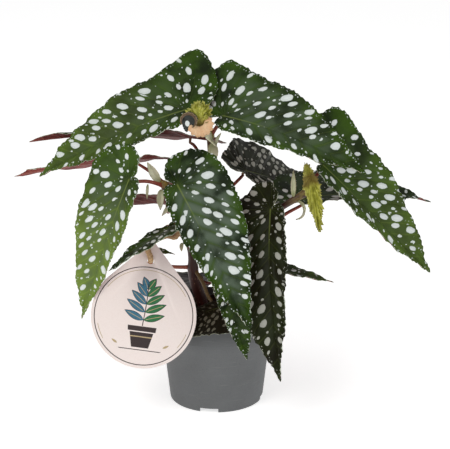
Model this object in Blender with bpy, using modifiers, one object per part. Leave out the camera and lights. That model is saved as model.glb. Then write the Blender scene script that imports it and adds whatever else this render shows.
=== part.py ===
"""Potted polka dot begonia: a cane begonia with spotted angel-wing leaves in a nursery pot.

Frame: metres, +Z up, origin at the centre of the pot's base, the plant's front towards -Y.
Run it with: blender --background --python part.py
"""

import math
from dataclasses import dataclass

import bmesh
import bpy
import numpy as np
from mathutils import Matrix, Vector

MM = 0.001
GAP = 0.3 * MM  # clearance between neighbouring solids

# Pot: a turned plastic shell with a ring foot, a drained base and a thick collar.
POT_HEIGHT = 100 * MM
POT_RIM_RADIUS = 61 * MM
POT_SHOULDER_RADIUS = 57.5 * MM
POT_FOOT_RADIUS = 49 * MM
POT_WALL = 1.4 * MM
COLLAR_HEIGHT = 24 * MM
FOOT_HEIGHT = 5 * MM
FOOT_WIDTH = 3 * MM
PAD_RADIUS = 14 * MM
DRAIN_COUNT = 8
DRAIN_RADIUS = 3.5 * MM
DRAIN_CIRCLE = 28 * MM
DRAIN_START = 10
NOTCH_COUNT = 4
NOTCH_WIDTH = 19.5 * MM
NOTCH_HEIGHT = 4.4 * MM
NOTCH_START = 261  # degrees, the notch that faces the front
POT_STEPS = 44

# Soil
SOIL_LEVEL = 91 * MM
SOIL_DOME = 2.5 * MM
SOIL_LUMP = 1.6 * MM

# Blades
BLADE_THICKNESS = 0.8 * MM
BIG_SPOKES = 40
SMALL_SPOKES = 28
BRACT_SPOKES = 16
BLADE_RINGS = (0.36, 0.72, 1.0)
BRACT_RINGS = (0.5, 1.0)
TOOTH = 0.011  # of the blade's length
WAVE = 0.010  # of the blade's length
WAVES = 7  # round the margin

# Stems
STEM_POINT_SPACING = 9 * MM
STEM_RESOLUTION = 2
PETIOLE_ROOT = 2.1 * MM
PETIOLE_TIP = 1.5 * MM
PETIOLE_NECK = 5 * MM  # the last stretch, square to its blade
HOLE_DEPTH = 24 * MM

# Tag: a drop-shaped card that hangs from a loop of twine.
TAG_RADIUS = 53 * MM
TAG_POINT = 76 * MM  # centre of the round part to the point of the drop
TAG_THICKNESS = 0.8 * MM
TAG_HOLE_RADIUS = 3.4 * MM
TAG_HOLE_UP = 56 * MM
TAG_CENTRE = Vector((-72.5, -67, 113.5)) * MM
TAG_LEAN = 14  # degrees, its foot forward
TAG_SWING = 7.5  # degrees, clockwise seen from the front
TWINE_RADIUS = 2.2 * MM
TWINE_ON_TAG = ((-0.8, 60.5), (-3.5, 65), (-5, 70), (-4.5, 75))  # on either face, in millimetres

# Outline of a blade, in units of its length. The petiole joins at (0, 0), the tip is at (1, 0).
WIDE_SIDE = ((-0.022, -0.022), (-0.075, -0.048), (-0.135, -0.03), (-0.19, 0.02), (-0.21, 0.08),
             (-0.185, 0.15), (-0.12, 0.22), (-0.02, 0.275), (0.10, 0.30), (0.25, 0.292), (0.40, 0.262),
             (0.55, 0.212), (0.70, 0.145), (0.84, 0.075), (0.94, 0.025), (1.0, 0.0))
NARROW_SIDE = ((1.0, 0.0), (0.95, -0.016), (0.86, -0.045), (0.70, -0.085), (0.52, -0.112), (0.34, -0.125),
               (0.18, -0.125), (0.07, -0.112), (-0.005, -0.088), (-0.035, -0.055), (-0.022, -0.022))
LOBE_CENTRE = (-0.13, 0.24)
LOBE_REACH = 0.12
LOBE_PULL = (-0.4, 0.85)
BRACT_SIDE = ((-0.03, 0.0), (0.02, 0.11), (0.25, 0.19), (0.55, 0.18), (0.85, 0.07), (1.0, 0.0))


@dataclass
class Blade:
    """A blade's place in millimetres, its attitude in degrees, and how it bends."""

    at: tuple  # where the petiole joins
    heading: float  # 0 is +X, 90 is +Y
    pitch: float
    roll: float
    length: float
    side: int = 1  # +1: the wide side is on the left of the heading
    width: float = 1.0
    bend: float = 20.0  # droop from the petiole to the tip
    fold: float = 10.0  # each half's rise from the midrib
    arch: float = 28.0  # each half's droop towards the margin
    sweep: float = 0.0  # the tip's drift towards the wide side
    twist: float = 0.0
    lobe: float = 0.03
    tooth: float = TOOTH
    wave: float = WAVE
    spokes: int = BIG_SPOKES

    def frame(self):
        """The unit vectors along, across and out of the blade where the petiole joins."""
        heading, pitch, roll = (math.radians(angle) for angle in (self.heading, self.pitch, self.roll))
        flat = Vector((math.cos(heading), math.sin(heading), 0))
        along = flat * math.cos(pitch) + Vector((0, 0, math.sin(pitch)))
        level = Vector((-math.sin(heading), math.cos(heading), 0))
        up = along.cross(level)
        across = level * math.cos(roll) + up * math.sin(roll)
        return along, across, up * math.cos(roll) - level * math.sin(roll)

    def under(self, depth):
        """A point this far in millimetres under the place where the petiole joins."""
        return tuple(Vector(self.at) - self.frame()[2] * depth)


LEAVES = {
    "leaf_upper_left": Blade((-31, 16, 306), 189, -15, -40, 168, -1, width=0.96, bend=25, fold=9,
                             lobe=0.22),
    "leaf_upper_right": Blade((8, 10, 301), -32, -4, 40, 160, width=1.06, bend=34, fold=13, lobe=0.16),
    "leaf_right": Blade((110, 5, 250), 0, -44, 41, 165, width=1.05, bend=8, fold=20, sweep=0.03, lobe=0.13),
    "leaf_left": Blade((-86, -43, 248), 205, -65, -28, 150, -1, bend=11, fold=11),
    "leaf_front": Blade((-38, -35, 240), -57, -38, 30, 164, bend=27, fold=8),
    "leaf_front_right": Blade((55, -30, 213), -96, -46, 24, 174, -1, width=0.93, bend=28, fold=12,
                              lobe=-0.04),
    "leaf_back_middle": Blade((31, 50, 233), 50, -20, 40, 165, bend=8, fold=8, sweep=0.02, lobe=-0.07),
    "leaf_back_right": Blade((92, 30, 207), 22, 6, 12, 160, bend=28, fold=12),
    "leaf_back_left": Blade((-27, 45, 270), 175, 4, 23, 170, -1, bend=12, fold=9, arch=12),
    "leaf_low_left": Blade((-80, 10, 256), 163, -8.5, 24, 142, -1, bend=6, fold=10, arch=12, sweep=0.02),
    "leaf_over_tag": Blade((-48, -38, 197), 228, -14, 11, 90, fold=12, bend=4, sweep=0.04,
                           spokes=SMALL_SPOKES),
    "leaf_mid_left": Blade((-51, 15, 208), 178, 0, 30, 84, bend=4, fold=8, arch=10, spokes=SMALL_SPOKES),
    "leaf_behind_tag": Blade((-84, -4, 161), 4, 4, 7, 42, spokes=SMALL_SPOKES),
    "leaf_low_front": Blade((3, -44, 165), -71, -42, 20, 106, bend=38, spokes=SMALL_SPOKES),
    "leaf_over_rim": Blade((16, -37, 115), 197, -9, -15, 96, width=1.12, bend=16, fold=5, arch=120,
                           spokes=SMALL_SPOKES),
    "leaf_low_right": Blade((60, 31, 129), 16, -14, 8, 72, width=0.9, bend=5, spokes=SMALL_SPOKES),
    "leaf_side_right": Blade((63, -2, 160), 0, -88, 0, 127, -1, bend=3, spokes=SMALL_SPOKES),
    "leaf_back_high": Blade((-6, 66, 214), 98, -35, 0, 155),
    "leaf_back_low_right": Blade((38, 56, 172), 76, -45, 0, 132, spokes=SMALL_SPOKES),
    "leaf_back_low_left": Blade((-16, 52, 115), 100, -28, 0, 128, spokes=SMALL_SPOKES),
}
YOUNG_LEAVES = {
    "young_leaf_top": Blade((-15, -9, 295), 70, 118, 0, 28, width=2.2, bend=25, fold=6, arch=60,
                            tooth=0.06, wave=0.03, lobe=0, spokes=SMALL_SPOKES),
    "young_leaf_right": Blade((96, -8, 243), -40, -75, 32, 60, -1, width=0.95, bend=14, fold=45, tooth=0.04,
                              wave=0.03, lobe=0, spokes=SMALL_SPOKES),
}


def bract(at, heading, pitch, roll, length, width=1.0, bend=0.0, fold=35.0):
    """A papery scale with the same cupped form as a blade, and no teeth."""
    return Blade(at, heading, pitch, roll, length, width=width, bend=bend, fold=fold, arch=0, tooth=0,
                 wave=0, lobe=0, spokes=BRACT_SPOKES)


BRACTS = {
    "bract_left_up": bract((-57, -20.5, 240), 150, 52, -60, 24, 1.1, 8),
    "bract_left_down": bract((-55, -22, 232), 240, -82, -20, 21, 1.1, 8),
    "bract_left_low": bract((-46, -20.5, 216), 200, -50, -60, 15, 0.9, -25),
    "bract_left_bud": bract((-68, -31, 240), 250, -80, 0, 15, 0.6, 0),
    "bract_top_down": bract((-4, 16, 271), -80, -80, 0, 22, 1.5, 5),
    "bract_top_up": bract((0, 20, 268), -50, 66, 0, 17, 0.9, 10),
    "bract_right_up": bract((79, -2, 220), 90, 82, 0, 27, 0.6, -4),
    "bract_right_hook": bract((84, -3, 214), 0, -35, 20, 27, 0.7, 125),
    "bract_low": bract((-37, -10, 172), 230, -75, 0, 9, 1.7, 0),
    "bud_sheath": bract((-4, 6.5, 277), 228, 8, -50, 24, 2.6, -60, 25),
}

FOOT_Z = SOIL_LEVEL / MM - 20  # where a cane ends, in millimetres

# Canes and petioles: stations of (x, y, z, radius) in millimetres.
CANES = {
    "cane_left": (
        ((-13, 3, FOOT_Z, 5.4), (-13, 3, 95, 5.6), (-16, 2, 107, 6.0), (-21, -1, 124, 6.2),
         (-24, -4, 140, 5.6), (-24.5, -6, 155, 4.6), (-27, -7, 168, 4.0), (-34, -9, 182, 3.6), (-43, -15, 210, 3.2),
         (-51, -22, 236, 3.8), (-55, -24, 240, 2.4)),
        (
            ("leaf_left", ((-51, -22, 236), (-67, -30, 243), (-80, -37, 245))),
            ("leaf_front", ((-51, -22, 236), (-46, -27, 236))),
            ("leaf_low_left", ((-52, -22, 238), (-61, -11, 244), (-72, 2, 248))),
            ("leaf_over_tag", ((-34, -9, 182), (-40, -19, 186), (-46, -31, 190))),
            ("leaf_mid_left", ((-42, -14, 206), (-47, -2, 204), (-50, 8, 200))),
            ("leaf_behind_tag", ((-24, -4, 144), (-44, -3, 144), (-68, -3, 147), (-80, -4, 152))),
            ("leaf_over_rim", ((-24, -4, 144), (-14, -15, 131), (-7, -22, 116), (4, -31, 107))),
        ),
    ),
    "cane_back": (
        ((8, 26, FOOT_Z, 4.2), (8, 26, 95, 4.2), (8, 26, 107, 4.2), (4, 20, 140, 3.9), (-1, 13, 185, 3.6),
         (-4, 17, 235, 3.3), (-6, 20, 270, 3.4), (-6, 19, 278, 3.9), (-8, 17, 284, 2.6)),
        (
            ("leaf_upper_left", ((-6, 19, 278), (-13, 22, 289), (-24, 22, 298))),
            ("leaf_upper_right", ((-6, 19, 278), (0, 18, 287), (5, 18, 294))),
            ("young_leaf_top", ((-8, 16, 283), (-12, 4, 291))),
            ("leaf_back_left", ((-3, 16, 228), (-12, 28, 246), (-22, 42, 261))),
            ("leaf_back_middle", ((-1, 13, 200), (11, 34, 214), (27, 50, 227))),
            ("leaf_low_front", ((1, 16, 168), (7, -8, 170), (11, -28, 165))),
            ("leaf_back_high", ((-2, 15, 190), (-5, 36, 202), (-6, 56, 208))),
            ("leaf_back_low_left", ((7, 25, 111), (-3, 36, 113), (-10, 43, 110))),
        ),
    ),
    "cane_right": (
        ((22, 38, FOOT_Z, 4.0), (22, 38, 95, 4.0), (23, 37, 107, 4.0), (29, 22, 130, 3.7),
         (40, 4, 168, 3.4), (54, -1, 193, 3.2), (66, 0, 206, 3.1), (79, 0, 215, 3.5),
         (91, 0, 223, 3.6), (95, 0, 229, 2.4)),
        (
            ("leaf_right", ((91, 0, 223), (99, 1, 235), (104, 2, 243))),
            ("young_leaf_right", ((91, 0, 223), (94, -1, 233))),
            ("leaf_back_right", ((43, 3, 175), (68, 18, 192), (86, 27, 200))),
            ("leaf_front_right", ((58, 0, 198), (58, -14, 203), (55, -22, 204))),
            ("leaf_side_right", ((38, 7, 162), (44, 4, 164), (53, 0, 162))),
            ("leaf_low_right", ((29, 22, 130), (42, 28, 126), (54, 31, 122))),
            ("leaf_back_low_right", ((24, 34, 113), (30, 44, 140), (36, 52, 162))),
        ),
    ),
}

COLOURS = {
    "leaf": ((0.035, 0.075, 0.02), 0.42),
    "young_leaf": ((0.42, 0.45, 0.07), 0.5),
    "bract": ((0.60, 0.61, 0.42), 0.6),
    "stem": ((0.22, 0.045, 0.025), 0.45),
    "pot": ((0.16, 0.175, 0.185), 0.55),
    "soil": ((0.02, 0.014, 0.01), 0.95),
    "tag": ((0.82, 0.77, 0.74), 0.8),
    "twine": ((0.62, 0.45, 0.28), 0.85),
}


def start_scene():
    for obj in list(bpy.data.objects):
        bpy.data.objects.remove(obj, do_unlink=True)
    bpy.context.scene.unit_settings.scale_length = 1.0


def new_collection(name):
    collection = bpy.data.collections.new(name)
    bpy.context.scene.collection.children.link(collection)
    return collection


def principled(name, colour, roughness):
    material = bpy.data.materials.new(name)
    material.use_nodes = True
    shader = material.node_tree.nodes["Principled BSDF"]
    shader.inputs["Base Color"].default_value = (*colour, 1)
    shader.inputs["Roughness"].default_value = roughness
    shader.inputs["Metallic"].default_value = 0
    return material


def add_object(name, data, collection, slot=None):
    obj = bpy.data.objects.new(name, data)
    collection.objects.link(obj)
    if slot:
        colour, roughness = COLOURS[slot]
        data.materials.append(principled(name, colour, roughness))
    return obj


def helper(obj):
    """Marks a cutter, which shapes another object and isn't part of the model."""
    obj.hide_render = True
    obj.display_type = "WIRE"
    return obj


def baked(obj):
    """Replaces an object by the mesh that its modifiers or its curve give."""
    graph = bpy.context.evaluated_depsgraph_get()
    mesh = bpy.data.meshes.new_from_object(obj.evaluated_get(graph))
    new = bpy.data.objects.new(obj.name + "_mesh", mesh)
    new.matrix_world = obj.matrix_world
    for collection in obj.users_collection:
        collection.objects.link(new)
    bpy.data.objects.remove(obj, do_unlink=True)
    with_bmesh(mesh, lambda bm: bmesh.ops.remove_doubles(bm, verts=bm.verts, dist=0.005 * MM))
    return new


def with_bmesh(mesh, edit):
    bm = bmesh.new()
    bm.from_mesh(mesh)
    edit(bm)
    bm.to_mesh(mesh)
    bm.free()


def catmull_rom(points, steps):
    """A smooth curve through the points, with this many steps between neighbours."""
    points = [np.array(p, float) for p in points]
    ends = [2 * points[0] - points[1], *points, 2 * points[-1] - points[-2]]
    curve = []
    for a, b, c, d in zip(ends, ends[1:], ends[2:], ends[3:]):
        for t in np.arange(steps) / steps:
            curve.append(0.5 * (2 * b + (c - a) * t + (2 * a - 5 * b + 4 * c - d) * t**2
                                + (3 * b - a - 3 * c + d) * t**3))
    return np.array(curve + [points[-1]])


def evenly(curve, count):
    """count + 1 points at equal distances along a curve."""
    along = np.concatenate([[0], np.cumsum(np.linalg.norm(np.diff(curve, axis=0), axis=1))])
    at = np.linspace(0, along[-1], count + 1)
    return np.stack([np.interp(at, along, axis) for axis in curve.T], axis=-1)


def leaf_outline(spokes):
    """The margin of a leaf: the wide side from the notch to the tip, then the narrow side back."""
    wide_count = round(spokes * 0.56)
    wide = evenly(catmull_rom(WIDE_SIDE, 8), wide_count)
    narrow = evenly(catmull_rom(NARROW_SIDE, 8), spokes - wide_count)
    return np.concatenate([wide[:-1], narrow[:-1]])


def bract_outline(spokes):
    half = evenly(catmull_rom(BRACT_SIDE, 8), spokes // 2)
    return np.concatenate([half[:-1], (half * (1, -1))[:0:-1]])


def pull_lobe(x, y, amount):
    """Draws the round back lobe of the wide side out to a corner."""
    reach = ((x - LOBE_CENTRE[0]) ** 2 + (y - LOBE_CENTRE[1]) ** 2) / (2 * LOBE_REACH**2)
    pull = amount * math.exp(-reach)
    return x + LOBE_PULL[0] * pull, y + LOBE_PULL[1] * pull


def blade_point(spec, x, y):
    """Bends a point of the flat outline into the blade, in units of its length, on its own axes."""
    x, y = pull_lobe(x, y, spec.lobe)
    y = (y * spec.width + spec.sweep * max(x, 0) ** 2) * spec.side
    bend = math.radians(spec.bend) or 1e-4
    turn = bend * x
    rib = Vector((math.sin(turn) / bend, 0, -(1 - math.cos(turn)) / bend))
    up = Vector((math.sin(turn), 0, math.cos(turn)))
    across = Vector((0, 1, 0))
    twist = math.radians(spec.twist) * x
    side = across * math.cos(twist) + up * math.sin(twist)
    out = up * math.cos(twist) - across * math.sin(twist)
    rise = math.radians(spec.fold) - math.radians(spec.arch) * abs(y) / 2
    return rib + side * (y * math.cos(rise)) + out * (abs(y) * math.sin(rise))


def blade_place(spec, x, y, lift=0.0):
    """The place in metres of a point of the flat outline, lifted by this share of the blade's length."""
    along, across, out = spec.frame()
    p = blade_point(spec, x, y)
    return (Vector(spec.at) + (along * p.x + across * p.y + out * (p.z + lift)) * spec.length) * MM


def polar_disc(spokes, rings):
    """A flat disc: one spoke of points spun round, split into triangles."""
    bm = bmesh.new()
    line = [bm.verts.new((radius, 0, 0)) for radius in (0, *rings)]
    edges = [bm.edges.new(pair) for pair in zip(line, line[1:])]
    bmesh.ops.spin(bm, geom=line + edges, cent=(0, 0, 0), axis=(0, 0, 1), angle=math.tau, steps=spokes,
                   use_merge=True)
    bmesh.ops.remove_doubles(bm, verts=bm.verts, dist=1e-4)
    bmesh.ops.triangulate(bm, faces=bm.faces)
    return bm


def add_blade(name, spec, outline, rings, collection, slot):
    """A disc drawn out to the outline, bent into the blade and given its thickness."""
    margin = outline(spec.spokes)
    bm = polar_disc(spec.spokes, rings)
    for vert in bm.verts:
        radius = vert.co.length
        spoke = round(math.atan2(vert.co.y, vert.co.x) / math.tau * spec.spokes) % spec.spokes
        flat = Vector(margin[spoke]) * radius
        at_margin = radius > 0.99
        if at_margin and spoke:
            flat += flat.normalized() * spec.tooth * (-1) ** spoke
        wave = spec.wave * radius**2 * math.sin(math.tau * WAVES * spoke / spec.spokes) if spoke else 0
        vert.co = blade_place(spec, flat.x, flat.y, wave)
    mesh = bpy.data.meshes.new(name)
    bm.to_mesh(mesh)
    bm.free()
    mesh.shade_smooth()
    blade = add_object(name, mesh, collection, slot)
    shell = blade.modifiers.new("Thickness", "SOLIDIFY")
    shell.thickness = BLADE_THICKNESS
    shell.offset = 0
    return blade


def add_tube(name, stations, collection, closed=False):
    """A round tube through stations of (x, y, z, radius) in millimetres."""
    curve = bpy.data.curves.new(name, "CURVE")
    curve.dimensions = "3D"
    curve.bevel_depth = MM
    curve.bevel_resolution = STEM_RESOLUTION
    curve.use_fill_caps = not closed
    spline = curve.splines.new("POLY")
    spline.use_cyclic_u = closed
    spline.points.add(len(stations) - 1)
    for point, (x, y, z, radius) in zip(spline.points, stations):
        point.co = (x * MM, y * MM, z * MM, 1)
        point.radius = radius
    return add_object(name, curve, collection)


def smooth_stations(stations):
    curve = catmull_rom(stations, 8)
    length = np.linalg.norm(np.diff(curve[:, :3], axis=0), axis=1).sum() * MM
    return evenly(curve, max(3, round(length / STEM_POINT_SPACING)))


def petiole_stations(leaf, route):
    """From inside the cane along the route to just under the blade, arriving square to it."""
    points = [*route, leaf.under(PETIOLE_NECK / MM)]
    radii = np.linspace(PETIOLE_ROOT, PETIOLE_TIP, len(points)) / MM
    stations = smooth_stations([(*point, radius) for point, radius in zip(points, radii)])
    end = leaf.under((BLADE_THICKNESS / 2 + GAP) / MM)
    return [*stations, (*end, PETIOLE_TIP / MM)]


def add_cane(name, cane, petioles, collection, cutters):
    """A cane and its petioles, joined in one body."""
    blades = {**LEAVES, **YOUNG_LEAVES}
    tubes = bpy.data.collections.new(name + "_tubes")
    bpy.context.scene.collection.children.link(tubes)
    for leaf, route in petioles:
        baked(add_tube("petiole_" + leaf, petiole_stations(blades[leaf], route), tubes))
    body = baked(add_tube(name, smooth_stations(cane), collection))
    body.name = name
    union = body.modifiers.new("Petioles", "BOOLEAN")
    union.operation = "UNION"
    union.operand_type = "COLLECTION"
    union.collection = tubes
    union.solver = "EXACT"
    joined = baked(body)
    joined.name = name
    for obj in list(tubes.objects):
        bpy.data.objects.remove(obj, do_unlink=True)
    bpy.data.collections.remove(tubes)
    joined.data.materials.clear()
    joined.data.materials.append(principled(name, *COLOURS["stem"]))
    joined.data.shade_smooth()
    add_hole_cutter(name + "_hole", cane[0], cutters)
    return joined


def add_hole_cutter(name, station, cutters):
    """The plain hole in the soil that a cane stands in."""
    x, y, z, radius = station
    bm = bmesh.new()
    bmesh.ops.create_cone(bm, cap_ends=True, segments=12, radius1=radius * MM + 2 * GAP,
                          radius2=radius * MM + 2 * GAP, depth=2 * HOLE_DEPTH)
    mesh = bpy.data.meshes.new(name)
    bm.to_mesh(mesh)
    bm.free()
    cutter = helper(add_object(name, mesh, cutters))
    cutter.location = Vector((x, y, z - GAP / MM)) * MM + Vector((0, 0, HOLE_DEPTH))
    return cutter


def turned(name, profile, collection, slot):
    """A profile of (radius, height) pairs turned about the Z axis."""
    mesh = bpy.data.meshes.new(name)
    mesh.from_pydata([(r, 0, z) for r, z in profile], [(i, i + 1) for i in range(len(profile) - 1)], [])
    obj = add_object(name, mesh, collection, slot)
    screw = obj.modifiers.new("Turn", "SCREW")
    screw.steps = screw.render_steps = POT_STEPS
    screw.use_merge_vertices = True
    screw.merge_threshold = 0.0001 * MM
    screw.use_smooth_shade = False
    return obj


def cut(obj, cutter):
    boolean = obj.modifiers.new(cutter.name, "BOOLEAN")
    boolean.operation = "DIFFERENCE"
    boolean.object = cutter
    boolean.solver = "EXACT"


def pot_radius(z):
    """The outer radius of the tapered wall."""
    top = POT_HEIGHT - COLLAR_HEIGHT
    return POT_FOOT_RADIUS + (POT_SHOULDER_RADIUS - POT_FOOT_RADIUS) * z / top


def pot_inside(z):
    """The inner radius of the pot at a height, above its floor."""
    top = POT_HEIGHT - COLLAR_HEIGHT
    if z <= top:
        return pot_radius(z) - POT_WALL
    return POT_RIM_RADIUS - POT_WALL - (POT_HEIGHT - z) / COLLAR_HEIGHT * 1.4 * MM


def pot_floor():
    return FOOT_HEIGHT + POT_WALL


def add_pot(collection, cutters):
    top = POT_HEIGHT - COLLAR_HEIGHT
    lip = 0.4 * MM
    profile = [
        (0, pot_floor()), (pot_inside(pot_floor()), pot_floor()), (pot_inside(top), top),
        (pot_inside(top + 2 * MM), top + 2 * MM), (POT_RIM_RADIUS - POT_WALL, POT_HEIGHT - lip),
        (POT_RIM_RADIUS - POT_WALL + lip, POT_HEIGHT), (POT_RIM_RADIUS - lip, POT_HEIGHT),
        (POT_RIM_RADIUS, POT_HEIGHT - lip), (POT_RIM_RADIUS - 1 * MM, top + lip),
        (POT_RIM_RADIUS - 1.4 * MM, top), (pot_radius(top), top - 0.6 * MM), (pot_radius(1 * MM), 1 * MM),
        (POT_FOOT_RADIUS - 0.6 * MM, 0), (POT_FOOT_RADIUS - FOOT_WIDTH, 0),
        (POT_FOOT_RADIUS - FOOT_WIDTH - 0.4 * MM, FOOT_HEIGHT), (PAD_RADIUS + 1 * MM, FOOT_HEIGHT),
        (PAD_RADIUS, 0), (0, 0),
    ]
    pot = turned("pot", profile, collection, "pot")
    for i in range(DRAIN_COUNT):
        angle = math.radians(DRAIN_START) + math.tau * i / DRAIN_COUNT
        bm = bmesh.new()
        bmesh.ops.create_cone(bm, cap_ends=True, segments=12, radius1=DRAIN_RADIUS, radius2=DRAIN_RADIUS,
                              depth=4 * FOOT_HEIGHT)
        mesh = bpy.data.meshes.new(f"drain_{i + 1}")
        bm.to_mesh(mesh)
        bm.free()
        drain = helper(add_object(f"drain_{i + 1}", mesh, cutters))
        drain.location = (DRAIN_CIRCLE * math.cos(angle), DRAIN_CIRCLE * math.sin(angle), pot_floor())
        cut(pot, drain)
    for i in range(NOTCH_COUNT):
        angle = math.radians(NOTCH_START) + math.tau * i / NOTCH_COUNT
        bm = bmesh.new()
        bmesh.ops.create_cube(bm, size=1)
        bmesh.ops.scale(bm, vec=(4 * FOOT_WIDTH, NOTCH_WIDTH, 2 * NOTCH_HEIGHT), verts=bm.verts)
        mesh = bpy.data.meshes.new(f"notch_{i + 1}")
        bm.to_mesh(mesh)
        bm.free()
        notch = helper(add_object(f"notch_{i + 1}", mesh, cutters))
        notch.location = (POT_FOOT_RADIUS * math.cos(angle), POT_FOOT_RADIUS * math.sin(angle), 0)
        notch.rotation_euler.z = angle
        cut(pot, notch)
    return pot


def add_soil(collection, cutters):
    """Soil that fills the pot to below its rim, with a lumpy top and a hole for each cane."""
    bottom = pot_floor() + GAP
    top = POT_HEIGHT - COLLAR_HEIGHT
    edge = pot_inside(SOIL_LEVEL) - GAP
    profile = [(0, SOIL_LEVEL + SOIL_DOME)]
    profile += [(edge * share, SOIL_LEVEL + SOIL_DOME * (1 - share**2))
                for share in (0.2, 0.4, 0.6, 0.8, 1.0)]
    profile += [(pot_inside(top + 2 * MM) - GAP, top + 2 * MM), (pot_inside(top) - GAP, top),
                (pot_inside(bottom) - GAP, bottom), (0, bottom)]
    soil = turned("soil_turned", profile, collection, "soil")
    soil = baked(soil)
    soil.name = "soil"
    rng = np.random.default_rng(7)
    for vert in soil.data.vertices:
        lump = SOIL_LUMP * (rng.random() - 0.5)
        inside = math.hypot(vert.co.x, vert.co.y) < edge * 0.9
        if vert.co.z > SOIL_LEVEL and inside:
            vert.co.z += lump
    for cutter in [obj for obj in cutters.objects if obj.name.endswith("_hole")]:
        cut(soil, cutter)
    return soil


def tag_matrix():
    """From the tag's own plane, with its point at +Y and its face at +Z, to its hanging place."""
    swing = Matrix.Rotation(math.radians(-TAG_SWING), 4, "Z")
    lean = Matrix.Rotation(math.radians(90 - TAG_LEAN), 4, "X")
    return Matrix.Translation(TAG_CENTRE) @ lean @ swing


def tag_outline():
    """A circle drawn out to a rounded point by its two tangents."""
    start = math.acos(TAG_RADIUS / TAG_POINT)
    arc = np.linspace(start, math.tau - start, 41)
    points = [(TAG_RADIUS * math.sin(a), TAG_RADIUS * math.cos(a)) for a in arc]
    nose = 2.5 * MM
    return points + [(-nose, TAG_POINT - nose), (nose, TAG_POINT - nose)]


def add_tag(collection):
    curve = bpy.data.curves.new("tag", "CURVE")
    curve.dimensions = "2D"
    curve.fill_mode = "BOTH"
    curve.extrude = TAG_THICKNESS / 2
    hole = [(TAG_HOLE_RADIUS * math.cos(a), TAG_HOLE_UP + TAG_HOLE_RADIUS * math.sin(a))
            for a in np.arange(16) * math.tau / 16]
    for points in (tag_outline(), hole):
        spline = curve.splines.new("POLY")
        spline.use_cyclic_u = True
        spline.points.add(len(points) - 1)
        for point, (x, y) in zip(spline.points, points):
            point.co = (x, y, 0, 1)
    flat = add_object("tag_curve", curve, collection)
    flat.matrix_world = tag_matrix()
    bpy.context.view_layer.update()
    tag = baked(flat)
    tag.name = "tag"
    tag.data.materials.append(principled("tag", *COLOURS["tag"]))
    return tag


def add_twine(collection):
    """A loop of twine through the tag's hole, over its point and round the petiole that carries it."""
    place = tag_matrix()
    front = TAG_THICKNESS / 2 + TWINE_RADIUS + 2 * GAP
    start, petiole, end = (Vector(point) for point in dict(CANES["cane_left"][1])["leaf_over_tag"])
    right = Vector((0, 0, 1)).cross(end - start).normalized()
    up = (end - start).cross(right).normalized()
    around = (PETIOLE_ROOT + TWINE_RADIUS + GAP) / MM + 0.4
    in_hole = [place @ Vector((0, TAG_HOLE_UP + y * MM, z * MM)) / MM for y, z in ((1, -2.4), (0, 0), (1, 2.4))]
    front_side, back_side = ([place @ Vector((x * MM, y * MM, side * front)) / MM for x, y in TWINE_ON_TAG]
                             for side in (1, -1))
    held = petiole.lerp(end, 0.5)
    ring = [held + (right * math.cos(angle) + up * math.sin(angle)) * around
            for angle in np.radians((120, 60, 0, -60, -120))]
    over = np.linspace(front_side[-1], ring[0] - right * 5, 5)[1:]
    under = np.linspace(ring[-1] - right * 5, back_side[-1], 5)
    points = [*in_hole, *front_side, *over, *ring, *under, *back_side[-2::-1]]
    loop = catmull_rom([*points, points[0]], 2)[:-1]
    stations = [(*point, TWINE_RADIUS / MM) for point in loop]
    twine = baked(add_tube("twine_curve", stations, collection, closed=True))
    twine.name = "twine_loop"
    twine.data.materials.append(principled("twine", *COLOURS["twine"]))
    return twine


def main():
    start_scene()
    plant = new_collection("Potted begonia")
    cutters = new_collection("Cutters")
    add_pot(plant, cutters)
    for name, (cane, petioles) in CANES.items():
        add_cane(name, cane, petioles, plant, cutters)
    add_soil(plant, cutters)
    for name, spec in LEAVES.items():
        add_blade(name, spec, leaf_outline, BLADE_RINGS, plant, "leaf")
    for name, spec in YOUNG_LEAVES.items():
        add_blade(name, spec, leaf_outline, BLADE_RINGS, plant, "young_leaf")
    for name, spec in BRACTS.items():
        add_blade(name, spec, bract_outline, BRACT_RINGS, plant, "bract")
    add_tag(plant)
    add_twine(plant)


main()
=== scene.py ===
"""Potted polka dot begonia: the finished look of the plant, its pot, its soil and its hanging tag.

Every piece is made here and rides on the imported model, in metres, with +Z up.
"""

import math
from dataclasses import dataclass

import bpy
import numpy as np
from bpy.props import FloatProperty, FloatVectorProperty, IntProperty, PointerProperty
from mathutils import Matrix, Vector


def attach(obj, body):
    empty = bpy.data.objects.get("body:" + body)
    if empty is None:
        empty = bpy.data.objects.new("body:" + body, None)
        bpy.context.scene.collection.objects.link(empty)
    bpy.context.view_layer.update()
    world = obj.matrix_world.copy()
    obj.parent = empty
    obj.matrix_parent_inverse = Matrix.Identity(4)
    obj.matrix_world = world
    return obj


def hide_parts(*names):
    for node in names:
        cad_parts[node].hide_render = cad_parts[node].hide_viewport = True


bl_info = {
    "name": "Potted polka dot begonia",
    "version": (1, 0, 0),
    "blender": (4, 5, 0),
    "location": "View3D > Sidebar > Begonia",
    "description": "Builds a spotted cane begonia in its nursery pot, with its tag",
    "category": "Add Mesh",
}

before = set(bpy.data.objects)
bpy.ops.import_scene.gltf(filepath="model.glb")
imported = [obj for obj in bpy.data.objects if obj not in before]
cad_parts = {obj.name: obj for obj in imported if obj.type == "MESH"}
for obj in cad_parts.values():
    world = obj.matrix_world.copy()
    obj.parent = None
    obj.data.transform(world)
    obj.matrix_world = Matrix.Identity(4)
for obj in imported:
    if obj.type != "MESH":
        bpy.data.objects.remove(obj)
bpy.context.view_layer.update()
MM = 0.001

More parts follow.
